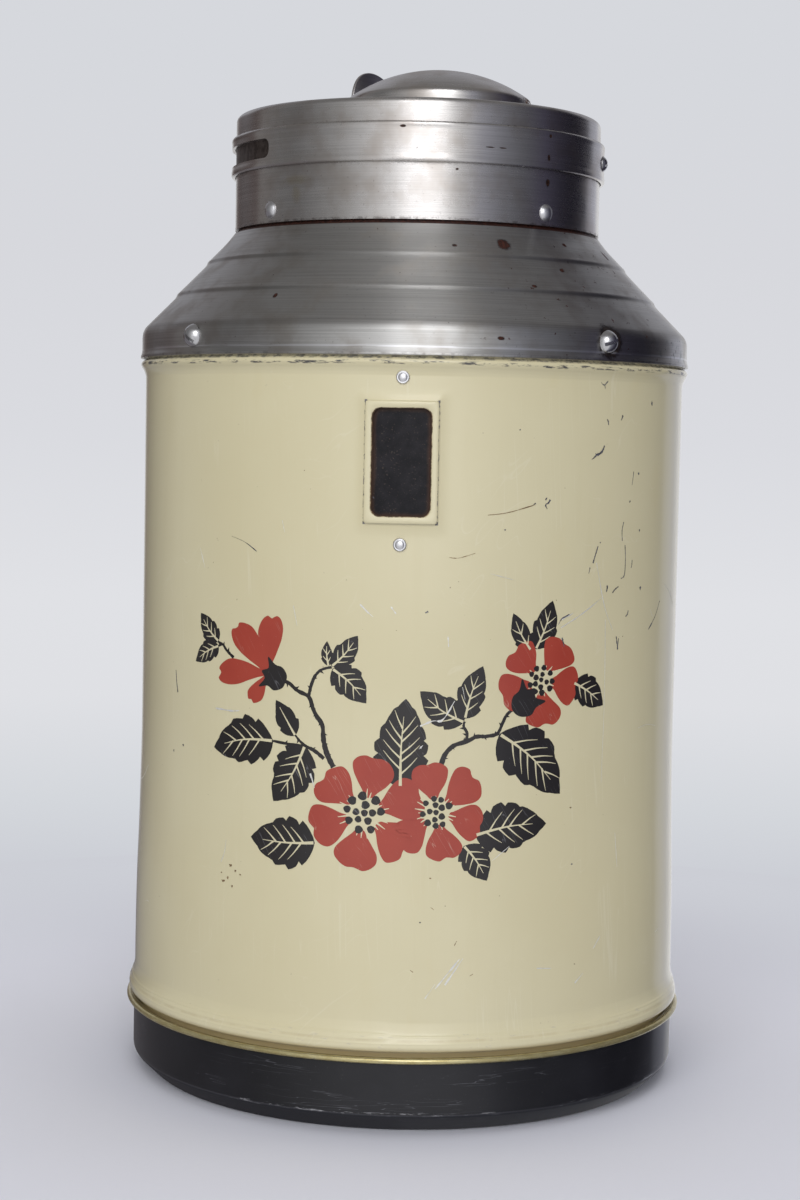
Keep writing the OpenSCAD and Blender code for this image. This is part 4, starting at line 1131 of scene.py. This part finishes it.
def ribbon(pts, w0, w1, k=6, rough=0.0, mid=None):
    """Line of changing width, as a closed outline."""
    c = smooth_line(pts, k)
    n = len(c)
    left, right = [], []
    for i, q in enumerate(c):
        a, b = c[max(0, i - 1)], c[min(n - 1, i + 1)]
        t = (b - a) / max(np.linalg.norm(b - a), 1e-9)
        nn = np.array((-t[1], t[0]))
        u = i / (n - 1)
        w = w0 + (w1 - w0) * u
        if mid is not None:
            w = w + (mid - (w0 + w1) / 2) * math.sin(math.pi * u)
        w = max(0.03, w / 2 * (1 + rough * (rng.random() - 0.5) * 2))
        left.append(tuple(q + nn * w))
        right.append(tuple(q - nn * w * (1 + rough * (rng.random() - 0.5))))
    return left + right[::-1]


RED, BLACK, LINE = Geo(), Geo(), Geo()
H_BLACK, H_RED, H_LINE = 0.028, 0.036, 0.046


def put(geo, poly, h, step=1.5):
    if abs(signed_area(poly)) < 0.004:
        return
    if signed_area(poly) < 0:
        poly = poly[::-1]
    v, f = slab(poly, on_body, -0.06, h, (), step)
    if f:
        geo.add(v, f)


def petal(cx, cy, ang, r0, r1, half, notch=0.10, skew=0.0, seed=0):
    """Rounded petal from radius r0 to r1 with a shallow notch in its outer edge."""
    q = np.random.default_rng(seed)
    shape = [(0.00, -0.16), (0.16, -0.40), (0.36, -0.72), (0.58, -0.96), (0.78, -0.98), (0.93, -0.70), (1.00, -0.36), (1.0 - notch * 0.7, -0.10),
             (1.0 - notch, 0.04), (1.0 - notch * 0.6, 0.20), (0.995, 0.46), (0.91, 0.80), (0.74, 1.00), (0.54, 0.93), (0.34, 0.68), (0.15, 0.38), (0.00, 0.16)]
    pts = []
    for u, w in shape:
        rr = r0 + (r1 - r0) * u * (1 + 0.02 * (q.random() - 0.5))
        y = w * half * (1 + 0.06 * (q.random() - 0.5)) + skew * u * u
        a = math.radians(ang)
        pts.append((cx + rr * math.cos(a) - y * math.sin(a), cy + rr * math.sin(a) + y * math.cos(a)))
    return smooth_loop(pts, 5)


def flower(cx, cy, r, count, start, core, seed, skip=(), dots=9, drop=()):
    q = np.random.default_rng(seed)
    for i in range(count):
        if i in skip:
            continue
        a = start + 360 / count * i + q.uniform(-4, 4)
        rr = r * q.uniform(0.93, 1.04)
        half = math.sin(math.radians(180 / count)) * (core * 0.35 + rr * 0.65) * q.uniform(0.97, 1.03)
        put(RED, petal(cx, cy, a, core * 0.95, rr, half, q.uniform(0.03, 0.09), q.uniform(-0.8, 0.8), seed * 31 + i), H_RED)
    # open heart: short pale rays, then dark seeds
    for i in range(count * 4):
        a = math.radians(start + 360 / (count * 4) * (i + 0.5) + q.uniform(-3, 3))
        r2 = core * q.uniform(1.12, 1.55)
        p0 = (cx + core * 0.8 * math.cos(a), cy + core * 0.8 * math.sin(a))
        p1 = (cx + r2 * math.cos(a), cy + r2 * math.sin(a))
        put(LINE, ribbon([p0, ((p0[0] + p1[0]) / 2, (p0[1] + p1[1]) / 2), p1], 0.5, 0.16, 3), H_LINE, 3)
    rings = [(0.0, 1)] if dots < 8 else [(0.0, 1), (core * 0.50, 5), (core * 0.98, 9)]
    if dots < 8:
        rings += [(core * 0.62, 6)]
    for rad, n in rings:
        for i in range(n):
            if n == 9 and q.random() < 0.12:
                continue
            a = 2 * math.pi * (i + 0.35 * q.random()) / n + seed
            rd = core * (0.235 if n == 9 else 0.215) * q.uniform(0.88, 1.12)
            x, y = cx + rad * math.cos(a) + q.uniform(-0.15, 0.15), cy + rad * math.sin(a) + q.uniform(-0.15, 0.15)
            dot = [(x + rd * (1 + 0.12 * math.sin(3 * t + i)) * math.cos(t), y + rd * math.sin(t)) for t in np.linspace(0, 2 * math.pi, 15)[:-1]]
            put(BLACK, dot, 0.056, 3)


def leaf_shape(base, tip, width, teeth=4, bend=0.0, seed=0, veins=4):
    """Pointed leaf with shallow teeth, a pale midrib and side veins."""
    q = np.random.default_rng(seed)
    b, t = np.array(base, float), np.array(tip, float)
    d = t - b
    L = np.linalg.norm(d)
    ux = d / L
    uy = np.array((-ux[1], ux[0]))

    def P(u, w):
        c = bend * math.sin(math.pi * u) * L
        return tuple(b + ux * u * L + uy * (w + c))

    pts = []
    for s in (1, -1):
        row = []
        n = teeth
        for i in range(n + 1):
            u = (i + 0.35) / (n + 0.9)
            prof = math.sin(math.pi * min(1, u) ** 0.72) ** 0.8
            w = width / 2 * prof * q.uniform(0.93, 1.07)
            row.append((u, w * s))
            if i < n:
                u2 = u + 0.10 / (n + 0.9) + 0.45 / (n + 0.9)
                prof2 = math.sin(math.pi * min(1, u2) ** 0.72) ** 0.8
                row.append((u2, width / 2 * prof2 * 1.10 * s))
                row.append((u2 + 0.05, width / 2 * prof2 * 0.90 * s))
        pts.append(row)
    a = [(0.0, 0.02)] + pts[0] + [(1.0, 0.0)] + pts[1][::-1]
    out = []
    raw = [P(u, w) for u, w in a]
    n = len(raw)
    for i in range(n):
        p0, p1 = np.array(raw[i]), np.array(raw[(i + 1) % n])
        u0, w0 = a[i]
        mid = (p0 + p1) / 2
        cen = np.array(P(0.45, 0))
        o2 = mid - cen
        o2 = o2 / max(np.linalg.norm(o2), 1e-6)
        bulge = 0.05 * np.linalg.norm(p1 - p0)
        out.append(tuple(p0))
        out.append(tuple(mid + o2 * bulge))
    put(BLACK, out, H_BLACK)
    rib = [P(u, 0.0) for u in (0.02, 0.25, 0.5, 0.80)]
    lw = 0.36 + width * 0.018
    put(LINE, ribbon(rib, lw * 1.35, 0.12, 5), H_LINE, 3)
    for i in range(veins):
        u = 0.16 + 0.58 * i / max(1, veins)
        for s in (1, -1):
            uu = u + (0.04 if s > 0 else 0.0) + q.uniform(-0.02, 0.02)
            reach = width * 0.36 * math.sin(math.pi * min(1, uu + 0.12) ** 0.8)
            if reach < 0.7:
                continue
            p0 = P(uu, 0)
            p1 = P(uu + 0.10, s * reach * 0.55)
            p2 = P(uu + 0.20, s * reach)
            put(LINE, ribbon([p0, p1, p2], lw * 0.8, 0.10, 3), H_LINE, 3)


def stem(pts, w0, w1, seed=0):
    put(BLACK, ribbon(pts, w0, w1, 5, 0.16), H_BLACK, 1.5)
    q = np.random.default_rng(seed)
    c = smooth_line(pts, 4)
    for i in range(3, len(c) - 3, 4):
        t = c[i + 1] - c[i]
        t = t / max(np.linalg.norm(t), 1e-6)
        nn = np.array((-t[1], t[0])) * (1 if q.random() < 0.5 else -1)
        p = c[i]
        tip = p + nn * q.uniform(0.8, 1.25) + t * 0.5
        put(BLACK, [tuple(p - t * 0.45), tuple(p + t * 0.45), tuple(tip)], H_BLACK + 0.004, 3)


flower(-10.2, 80.3, 14.6, 6, 18, 4.4, 5)
flower(7.6, 81.0, 12.6, 6, 42, 3.5, 8, skip=(2,))
flower(34.3, 113.4, 11.6, 5, 58, 3.2, 11)
# side bud of four petals
for i, (tx, tz, w, sk) in enumerate(((-45.4, 126.0, 7.4, 1.4), (-36.4, 128.2, 7.2, -1.2), (-52.0, 114.4, 6.6, 1.6), (-41.0, 106.2, 4.6, -0.6))):
    dx, dz = tx + 36.6, tz - 113.6
    put(RED, petal(-36.6, 113.6, math.degrees(math.atan2(dz, dx)), 0.8, math.hypot(dx, dz), w / 2, 0.05, sk, 70 + i), H_RED)


def calyx(cx, cz, r, ang, seed):
    """Rounded cup with three short points."""
    q = np.random.default_rng(seed)
    pts = []
    a0 = math.radians(ang)
    for i, (u, w) in enumerate(((-1.0, 0.0), (-0.85, 0.55), (-0.3, 0.95), (0.35, 0.92), (1.05, 1.25), (0.78, 0.48), (1.25, 0.05), (0.78, -0.42), (1.10, -1.15), (0.35, -0.92), (-0.3, -0.95), (-0.85, -0.55))):
        x, y = u * r * q.uniform(0.96, 1.04), w * r * q.uniform(0.95, 1.05)
        pts.append((cx + x * math.cos(a0) - y * math.sin(a0), cz + x * math.sin(a0) + y * math.cos(a0)))
    put(BLACK, smooth_loop(pts, 4), 0.050)


calyx(-34.4, 112.9, 3.3, 158, 2)
calyx(29.8, 108.0, 3.6, 48, 4)
LEAVES = [
    ((-52.5, 120.7), (-59.4, 127.4), 5.6, 3, 0.06, 3), ((-52.4, 119.5), (-61.3, 114.9), 5.2, 3, -0.05, 3),
    ((-19.9, 116.4), (-20.4, 122.6), 2.9, 2, 0.05, 2), ((-19.1, 116.4), (-12.6, 124.2), 5.6, 3, -0.05, 3),
    ((-18.9, 115.8), (-10.2, 107.6), 7.4, 3, 0.06, 3), ((-28.4, 98.6), (-34.0, 107.2), 5.6, 2, 0.0, 0),
    ((-34.6, 96.9), (-53.6, 93.6), 11.6, 4, -0.06, 4), ((-25.8, 96.3), (-34.2, 81.8), 10.8, 4, 0.05, 4),
    ((-22.6, 72.3), (-40.6, 72.2), 12.2, 4, 0.03, 4), ((-1.4, 87.0), (-0.4, 109.0), 12.6, 5, 0.02, 5),
    ((14.1, 103.3), (3.0, 110.9), 7.6, 3, 0.06, 3), ((14.3, 104.2), (18.6, 117.2), 7.0, 3, 0.04, 3),
    ((23.2, 100.3), (40.6, 84.6), 13.2, 4, 0.06, 5), ((31.2, 121.0), (26.2, 130.2), 5.0, 2, 0.05, 2),
    ((32.6, 121.2), (37.2, 133.2), 6.8, 3, -0.04, 3), ((44.2, 112.4), (54.4, 106.2), 7.8, 3, 0.04, 3),
    ((17.4, 75.2), (36.6, 77.4), 11.6, 4, 0.05, 4), ((14.6, 72.6), (20.6, 63.8), 7.4, 3, 0.05, 3),
]
for i, (b, t, w, n, bend, vn) in enumerate(LEAVES):
    leaf_shape(b, t, w, n, bend, 100 + i, vn)
stem([(-32.4, 112.2), (-30.3, 111.6), (-28.0, 109.9), (-25, 108.6), (-23.9, 106), (-22.9, 104), (-21.3, 101.8), (-21.0, 99), (-20.6, 96.7), (-19.6, 93.9), (-18.2, 91.4)], 0.85, 1.35, 1)
stem([(-25, 108.6), (-24.4, 111.3), (-23.4, 113.8), (-21.6, 115.5), (-19.1, 116.2)], 0.95, 0.6, 2)
stem([(-34.6, 96.9), (-30, 96.4), (-25.8, 96.1), (-23.2, 95.2), (-20.7, 93.4)], 0.6, 1.1, 3)
stem([(-28.6, 99.0), (-27.2, 97.4), (-25.4, 96.2)], 0.55, 0.7, 4)
stem([(-47.2, 116.9), (-49.6, 118.6), (-51.0, 120.0), (-52.8, 120.6)], 0.8, 0.5, 5)
stem([(-51.0, 120.0), (-52.0, 119.7), (-52.9, 119.3)], 0.6, 0.45, 6)
stem([(8.2, 91.4), (9.4, 95.2), (11.6, 97.5), (14.9, 98.6), (17.3, 99.7), (20, 99.8), (22.7, 100.4), (24.0, 103.0), (25.2, 105.2), (27.6, 106.9)], 1.2, 0.75, 7)
stem([(14.7, 98.5), (14.9, 100.6), (14.0, 102.2), (14.2, 103.5)], 0.8, 0.6, 8)
build("floral_red", RED.v, RED.f, "canister", red_mat, sharp=30, weld=1e-9)
build("floral_black", BLACK.v, BLACK.f, "canister", leaf_mat, sharp=30, weld=1e-9)
build("floral_lines", LINE.v, LINE.f, "canister", cream_line_mat, sharp=30, weld=1e-9)

# ---------------------------------------------------------------- chips and scratches
DARK, BROWN, LIGHT = Geo(), Geo(), Geo()


def scratch(geo, pts, w0, w1, mid=None, rough=0.5, h=0.05):
    put(geo, ribbon(pts, w0, w1, 5, rough, mid), h, 3)


def blot(geo, x, y, a, b, seed, h=0.048):
    q = np.random.default_rng(seed)
    n = 12
    k = q.uniform(0.55, 1.25, n)
    put(geo, smooth_loop([(x + a * k[i] * math.cos(2 * math.pi * i / n), y + b * k[i] * math.sin(2 * math.pi * i / n)) for i in range(n)], 3), h, 3)


for pts, w0, w1 in (
    (((53.3, 188.0), (52.7, 187.5), (52.2, 187.0), (52.4, 186.2)), 0.30, 0.18), (((52.2, 187.0), (51.4, 187.2), (50.9, 187.7)), 0.25, 0.12),
    (((52.6, 171.9), (52.1, 170.8), (51.6, 170.2)), 0.35, 0.55), (((51.6, 170.2), (50.6, 169.7), (49.6, 169.5)), 0.35, 0.6),
    (((49.6, 169.3), (48.9, 168.7), (48.3, 168.4)), 0.3, 0.15), (((53.4, 178.5), (53.8, 177.9), (53.9, 177.1)), 0.3, 0.2),
    (((59.3, 179.6), (59.1, 179.0), (58.7, 178.4)), 0.45, 0.2), (((51.2, 146.6), (50.2, 144.0), (49.6, 142.4)), 0.25, 0.4),
    (((48.6, 141.3), (48.5, 140.7), (48.2, 139.8)), 0.3, 0.12), (((54.9, 136.6), (54.9, 135.8), (54.6, 135.0)), 0.45, 0.2),
    (((61.6, 146.7), (61.9, 143.2), (61.8, 139.8), (61.3, 138.6), (60.2, 138.2)), 0.16, 0.22), (((64.9, 142.8), (64.8, 141.4), (64.5, 140.8)), 0.3, 0.15),
    (((63.7, 129.9), (63.4, 129.0), (62.6, 128.4)), 0.3, 0.2), (((57.0, 134.7), (57.9, 135.5), (59.3, 136.2)), 0.35, 0.2),
    (((40.2, 123.9), (40.6, 122.6), (40.9, 121.6)), 0.4, 0.15), (((39.0, 127.2), (40.0, 128.6), (42.3, 129.6)), 0.12, 0.32),
    (((58.9, 123.5), (59.3, 121.8), (59.6, 120.2)), 0.25, 0.4), (((59.9, 123.0), (59.7, 121.4), (59.5, 120.0)), 0.2, 0.1),
    (((-70.6, 111.8), (-70.2, 109.0), (-69.5, 106.1)), 0.2, 0.4), (((-66.6, 92.9), (-66.4, 92.4)), 0.4, 0.3), (((-71.2, 91.0), (-71.2, 90.4)), 0.4, 0.3),
    (((35.7, 158.3), (35.2, 157.5), (34.4, 157.0), (34.9, 156.0)), 0.4, 0.2), (((34.8, 158.8), (34.3, 158.2)), 0.3, 0.2),
    (((31.6, 157.4), (31.0, 157.0)), 0.3, 0.2), (((3.9, 130.2), (4.6, 130.6)), 0.3, 0.3), (((-9.5, 158.4), (-9.2, 158.0)), 0.2, 0.2),
    (((60.8, 152.6), (60.2, 150.4), (60.4, 147.8)), 0.18, 0.12), (((64.6, 165.4), (64.0, 162.0)), 0.2, 0.12),
):
    scratch(DARK, pts, w0, w1)
for x, y, a, b, sd in ((72.8, 182.9, 0.35, 0.6, 1), (66.9, 164.9, 0.4, 0.35, 2), (26.9, 175.4, 0.25, 0.2, 3), (23.5, 150.8, 0.22, 0.18, 4), (69.1, 135.5, 0.4, 0.5, 5),
                       (52.0, 147.5, 0.2, 0.2, 6), (63.2, 157.8, 0.25, 0.3, 7), (68.0, 150.3, 0.25, 0.35, 8), (4.1, 53.6, 0.22, 0.2, 9), (44.6, 66.5, 0.3, 0.2, 10)):
    blot(DARK, x, y, a, b, sd)
for x, y, a, b, sd in ((-46.8, 64.2, 0.5, 0.35, 11), (-45.2, 63.0, 0.3, 0.3, 12), (-49.1, 60.0, 0.5, 0.3, 13), (-47.6, 60.9, 0.25, 0.35, 14), (-46.1, 59.0, 0.22, 0.3, 15),
                       (-43.6, 62.2, 0.25, 0.2, 16), (-49.8, 62.0, 0.2, 0.2, 17), (6.4, 64.6, 0.25, 0.22, 18), (44.0, 80.9, 0.3, 0.2, 19), (30.6, 124.6, 0.2, 0.15, 20)):
    blot(BROWN, x, y, a, b, sd)
for pts in (((12.6, 47.8), (13.2, 49.0)), ((6.6, 57.4), (7.4, 56.8)), ((1.9, 41.7), (2.6, 41.2)), ((16.6, 40.1), (17.4, 40.6)), ((31.4, 157.0), (24, 155.0), (19, 154.4)), ((16.0, 145.0), (12.0, 143.8), (9.5, 143.9))):
    scratch(BROWN, pts, 0.16, 0.10, rough=0.8)
for pts, w in (
    (((3.2, 87.5 + 14.8), (6.2, 103.6), (8.8, 104.0), (11.6, 108.6)), 0.30), (((39.8, 126.4), (46.5, 129.8), (53.0, 133.6)), 0.16),
    (((40.0, 128.4), (43.5, 130.0)), 0.2), (((8.0, 37.0), (12.0, 42.0), (14.0, 44.5)), 0.34), (((10.4, 38.0), (14.8, 44.6)), 0.26), (((5.6, 34.6), (8.0, 38.2)), 0.22),
    (((-53.2, 103.6), (-47.8, 103.4), (-45.0, 103.7)), 0.34), (((-12.2, 132.0), (-10.4, 130.2), (-8.9, 129.0)), 0.22), (((54.5, 128.0), (54.9, 108.0), (54.4, 86.5)), 0.10),
    (((-4.6, 131.6), (-3.2, 129.8)), 0.26), (((9.6, 124.5), (9.8, 121.9)), 0.24), (((3.0, 96.6), (4.0, 97.6)), 0.22), (((-24.2, 89.5), (-23.0, 86.0)), 0.34),
    (((50.8, 142.4), (54.0, 131.5), (57.5, 125.0)), 0.12), (((-29.5, 131.0), (-28.4, 126.0)), 0.1), (((13.5, 112.0), (14.2, 108.8)), 0.1),
    (((46.0, 36.0), (48.6, 38.2)), 0.26), (((52.0, 44.0), (54.4, 47.0)), 0.2), (((34.4, 41.0), (38.6, 40.6)), 0.16), (((22.0, 68.8), (26.4, 72.2)), 0.10),
    (((-60.0, 144.0), (-58.0, 139.0)), 0.12), (((60.0, 73.0), (61.0, 64.0)), 0.12), (((20.0, 140.0), (26.0, 138.5)), 0.10), (((-33.0, 152.0), (-32.2, 149.0)), 0.1),
):
    scratch(LIGHT, pts, w, w * 0.5, mid=w * 1.2, rough=0.7, h=0.060)
# long hair scratches round the sides and back
q = np.random.default_rng(77)
for i in range(46):
    s0, z0 = q.uniform(-228, 228), q.uniform(34, 184)
    if abs(s0) < 70 and i % 3:
        continue
    a, L = q.uniform(0, math.pi), q.uniform(2, 11)
    p1 = (s0 + L * math.cos(a) * 0.5, z0 + L * math.sin(a) * 0.5)
    p2 = (s0 + L * math.cos(a + 0.12), z0 + L * math.sin(a + 0.12))
    if 30 < p2[1] < 186 and not (abs(s0 + 2.7) < 16 and 145 < z0 < 190):
        w = q.uniform(0.06, 0.13)
        if i % 5 == 0:
            scratch(DARK, [(s0, z0), p1, p2], w * 2.4, w, rough=0.8)
        else:
            scratch(LIGHT, [(s0, z0), p1, p2], w, w * 0.5, rough=0.6, h=0.060)
build("paint_chips", DARK.v, DARK.f, "canister", chip_mat, sharp=30, weld=1e-9)
build("paint_stains", BROWN.v, BROWN.f, "canister", brown_mat, sharp=30, weld=1e-9)
build("paint_scratches", LIGHT.v, LIGHT.f, "canister", scratch_mat, sharp=30, weld=1e-9)

# ---------------------------------------------------------------- carried-over CAD nodes
for name, mat in {
    "window_pane": pane_mat, "window_retainer": inner_mat, "shoulder_nuts": small_mat, "inlet_plate": inner_mat,
    "spindle_bolt": screw_mat, "spindle_washer": small_mat, "spindle_nut": small_mat, "drum_washer": fibre_mat, "stop_pin": small_mat,
    "pour_rim": inner_mat, "hinge_bracket": small_mat, "bracket_rivets": rivet_mat, "hinge_pin": screw_mat,
    "metering_drum": drum_mat, "tab_rivets": small_mat,
}.items():
    me = NODES[name].data
    if len(me.materials) == 0:
        me.materials.append(mat)
    for i in range(len(me.materials)):
        me.materials[i] = mat

# ---------------------------------------------------------------- stage
def floor_mesh():
    me = bpy.data.meshes.new("floor")
    n, rs = 96, [0.0, 0.02, 0.04, 0.055, 0.07, 0.085, 0.10, 0.12, 0.145, 0.175, 0.21, 0.25, 0.29, 0.32]
    v = [(0, 0, 0)]
    for q in rs[1:]:
        v += [(q * math.cos(2 * math.pi * i / n), q * math.sin(2 * math.pi * i / n), 0) for i in range(n)]
    f = [(0, 1 + i, 1 + (i + 1) % n) for i in range(n)]
    for k in range(len(rs) - 2):
        for i in range(n):
            j = (i + 1) % n
            f.append((1 + k * n + i, 1 + (k + 1) * n + i, 1 + (k + 1) * n + j, 1 + k * n + j))
    me.from_pydata(v, [], f)
    ob = bpy.data.objects.new("studio_floor", me)
    bpy.context.scene.collection.objects.link(ob)
    ob.location.z = -0.00005
    return ob


floor = floor_mesh()
m = Mat("studio_floor_paper")
FLOOR_ALBEDO = (0.72, 0.73, 0.81)
paper = m.noise(scale=0.5, detail=4, rough=0.6)
m.set(color=m.mix(m.mul(m.step(paper, 0.3, 0.7), 0.25), FLOOR_ALBEDO, tuple(q * 0.98 for q in FLOOR_ALBEDO)), rough=0.9, spec=0.1, normal=m.bump(paper, 0.05, 0.2))
em = m.t.nodes.new("ShaderNodeEmission")
far = m.math("SQRT", m.add(m.mul(m.x, m.x), m.mul(m.y, m.y)))
em.inputs[0].default_value = (*lin((204, 206, 213)), 1)
ms = m.t.nodes.new("ShaderNodeMixShader")
m._set(ms.inputs[0], m.step(far, 120.0, 300.0))
m.t.links.new(m.b.outputs[0], ms.inputs[1])
m.t.links.new(em.outputs[0], ms.inputs[2])
m.t.links.new(ms.outputs[0], m.out.inputs[0])
floor.data.materials.append(m.m)
floor.visible_glossy = False

# ---------------------------------------------------------------- world
world = bpy.data.worlds.new("studio")
bpy.context.scene.world = world
world.use_nodes = True
t = world.node_tree
t.nodes.clear()
wo = t.nodes.new("ShaderNodeOutputWorld")
tc = t.nodes.new("ShaderNodeTexCoord")
sep = t.nodes.new("ShaderNodeSeparateXYZ")
t.links.new(tc.outputs["Generated"], sep.inputs[0])


def wm(op, a, b=0.0, c=0.0, clamp=False):
    n = t.nodes.new("ShaderNodeMath")
    n.operation, n.use_clamp = op, clamp
    for s, v in zip(n.inputs, (a, b, c)):
        if isinstance(v, bpy.types.NodeSocket):
            t.links.new(v, s)
        else:
            s.default_value = v
    return n.outputs[0]


phi = wm("ARCTAN2", sep.outputs[0], wm("MULTIPLY", sep.outputs[1], -1.0))
u = wm("MULTIPLY_ADD", phi, 1 / (2 * math.pi), 0.5)
ENV = [
    (-180, 0.80, 0), (-172, 0.78, 0), (-165, 0.55, 0), (-160, 0.12, -2), (-150, 0.055, -2), (-135, 0.06, -2), (-120, 0.09, -2), (-117, 0.20, -1), (-95, 0.17, 0), (-81, 0.155, 0),
    (-64, 0.25, 0), (-51, 0.34, 0), (-36, 0.52, 0), (-24, 0.80, 0), (-12, 1.25, 0), (0, 1.65, 0), (9, 1.70, 0), (17, 1.25, 0), (26, 0.68, 0), (38, 0.36, 1),
    (53, 0.21, 1), (68, 0.12, 1), (84, 0.065, 2), (100, 0.030, 2), (113, 0.016, 2), (131, 0.024, 2), (136.5, 0.36, 1), (150, 0.50, 1), (158, 0.72, 0), (180, 0.80, 0),
]
er = t.nodes.new("ShaderNodeValToRGB")
t.links.new(u, er.inputs[0])
tint = {2: (1.0, 0.94, 1.40), 0: (1, 1, 1.02), 1: (0.95, 0.97, 1.12), -1: (1.04, 0.98, 0.97), -2: (1.2, 0.95, 0.92)}
el = er.color_ramp.elements
el[0].position, el[0].color = 0.0, tuple(ENV[0][1] / 2 * q for q in tint[ENV[0][2]]) + (1,)
el[1].position, el[1].color = 1.0, tuple(ENV[-1][1] / 2 * q for q in tint[ENV[-1][2]]) + (1,)
for a, L, k in ENV[1:-1]:
    e = el.new(a / 360 + 0.5)
    e.color = tuple(L / 2 * q for q in tint[k]) + (1,)
horizon = t.nodes.new("ShaderNodeVectorMath")
horizon.operation = "SCALE"
t.links.new(er.outputs[0], horizon.inputs[0])
horizon.inputs["Scale"].default_value = 2.0
# the backdrop rises behind the object; towards the zenith the room is an even grey; below, the table is dimmer


def wstep(v, lo, hi, a=0.0, b=1.0):
    n = t.nodes.new("ShaderNodeMapRange")
    n.interpolation_type = "SMOOTHSTEP"
    for q, x in zip(n.inputs, (v, lo, hi, a, b)):
        if isinstance(x, bpy.types.NodeSocket):
            t.links.new(x, q)
        else:
            q.default_value = x
    return n.outputs[0]


def wmix(fac, a, b):
    n = t.nodes.new("ShaderNodeMix")
    n.data_type = "RGBA"
    for q, x in zip((n.inputs[0], n.inputs[6], n.inputs[7]), (fac, a, b)):
        if isinstance(x, bpy.types.NodeSocket):
            t.links.new(x, q)
        else:
            q.default_value = x
    return n.outputs[2]


side = wm("ABSOLUTE", phi)
hz = sep.outputs[2]
behind = wm("MULTIPLY", wstep(side, 2.15, 2.5), wstep(hz, 0.10, 0.28))
sky = wmix(behind, horizon.outputs[0], (0.37, 0.37, 0.40, 1))
sky = wmix(wstep(hz, 0.50, 0.90), sky, (0.185, 0.18, 0.18, 1))
dim = wmix(wm("MULTIPLY", wstep(hz, -0.03, -0.12), wstep(side, 0.9, 0.2)), sky, (0.62, 0.62, 0.64, 1))
low_left = wm("MULTIPLY", wstep(phi, -0.9, -1.3), wstep(hz, -0.10, -0.20))
up = wmix(low_left, dim, (0.17, 0.16, 0.175, 1))
bg_light = t.nodes.new("ShaderNodeBackground")
bg_light.inputs[1].default_value = 1.0
seen = t.nodes.new("ShaderNodeValToRGB")
t.links.new(wm("MULTIPLY_ADD", sep.outputs[2], 1.25, 0.5), seen.inputs[0])
SEEN = [(-90, (197, 199, 208)), (-14, (197, 199, 208)), (-11.4, (200, 202, 210)), (-9, (212, 215, 220)), (-6.5, (223, 224, 228)), (-4, (224, 225, 229)),
        (0, (218, 219, 224)), (4.5, (215, 216, 221)), (9, (214, 216, 221)), (90, (214, 216, 221))]
se = seen.color_ramp.elements
se[0].position, se[0].color = 0.0, (*lin(SEEN[0][1]), 1)
se[1].position, se[1].color = 1.0, (*lin(SEEN[-1][1]), 1)
for a, c in SEEN[1:-1]:
    e = se.new(min(0.999, max(0.001, math.sin(math.radians(a)) * 1.25 + 0.5)))
    e.color = (*lin(c), 1)
bg_seen = t.nodes.new("ShaderNodeBackground")
t.links.new(seen.outputs[0], bg_seen.inputs[0])
lp = t.nodes.new("ShaderNodeLightPath")
mx = t.nodes.new("ShaderNodeMixShader")
box = wm("MULTIPLY", wm("MULTIPLY", wstep(hz, 0.26, 0.36), wstep(hz, 0.66, 0.54)), wstep(wm("ABSOLUTE", wm("ADD", phi, -0.07)), 0.34, 0.16))
t.links.new(wmix(wm("MULTIPLY", box, lp.outputs["Is Glossy Ray"]), up, (3.6, 3.6, 3.7, 1)), bg_light.inputs[0])
t.links.new(lp.outputs["Is Camera Ray"], mx.inputs[0])
t.links.new(bg_light.outputs[0], mx.inputs[1])
t.links.new(bg_seen.outputs[0], mx.inputs[2])
t.links.new(mx.outputs[0], wo.inputs[0])


def area(name, loc, target, size, power, glossy=True, color=(1, 1, 1), size_y=None):
    d = bpy.data.lights.new(name, "AREA")
    d.shape = "RECTANGLE"
    d.size, d.size_y = size, size_y or size
    d.energy, d.color = power, color
    ob = bpy.data.objects.new(name, d)
    bpy.context.scene.collection.objects.link(ob)
    ob.location = loc
    ob.rotation_euler = (Vector(target) - Vector(loc)).to_track_quat("-Z", "Y").to_euler()
    ob.visible_glossy = glossy
    ob.visible_camera = False
    return ob


area("key_front", (-0.20, -1.20, 0.72), (0, 0, 0.13), 1.05, 9.6, glossy=False, color=(1, 0.995, 0.97))
area("fill_right", (0.94, 0.34, 0.15), (0, 0, 0.1), 0.6, 2.5, glossy=False)
area("fill_left", (-0.87, 0.50, 0.15), (0, 0, 0.1), 0.6, 1.9, glossy=False)
area("fill_top", (0.1, 0.1, 1.5), (0, 0, 0.1), 1.2, 8.0, glossy=False)

# ---------------------------------------------------------------- camera
cam = bpy.data.cameras.new("photo_camera")
cam.sensor_fit = "AUTO"
cam.sensor_width = 36.0
cam.lens = 69.27
cam.clip_start, cam.clip_end = 0.01, 100
co = bpy.data.objects.new("photo_camera", cam)
bpy.context.scene.collection.objects.link(co)
R = Matrix.Rotation(math.radians(0.24), 4, "Z") @ Matrix.Rotation(math.radians(90 - 4.03), 4, "X") @ Matrix.Rotation(math.radians(1.10), 4, "Z")
co.matrix_world = Matrix.Translation((0, -0.6369, 0.1730)) @ R
bpy.context.scene.camera = co
vs = bpy.context.scene.view_settings
vs.view_transform = "Standard"
vs.look = "None"
vs.exposure = 0.0
vs.gamma = 1.0
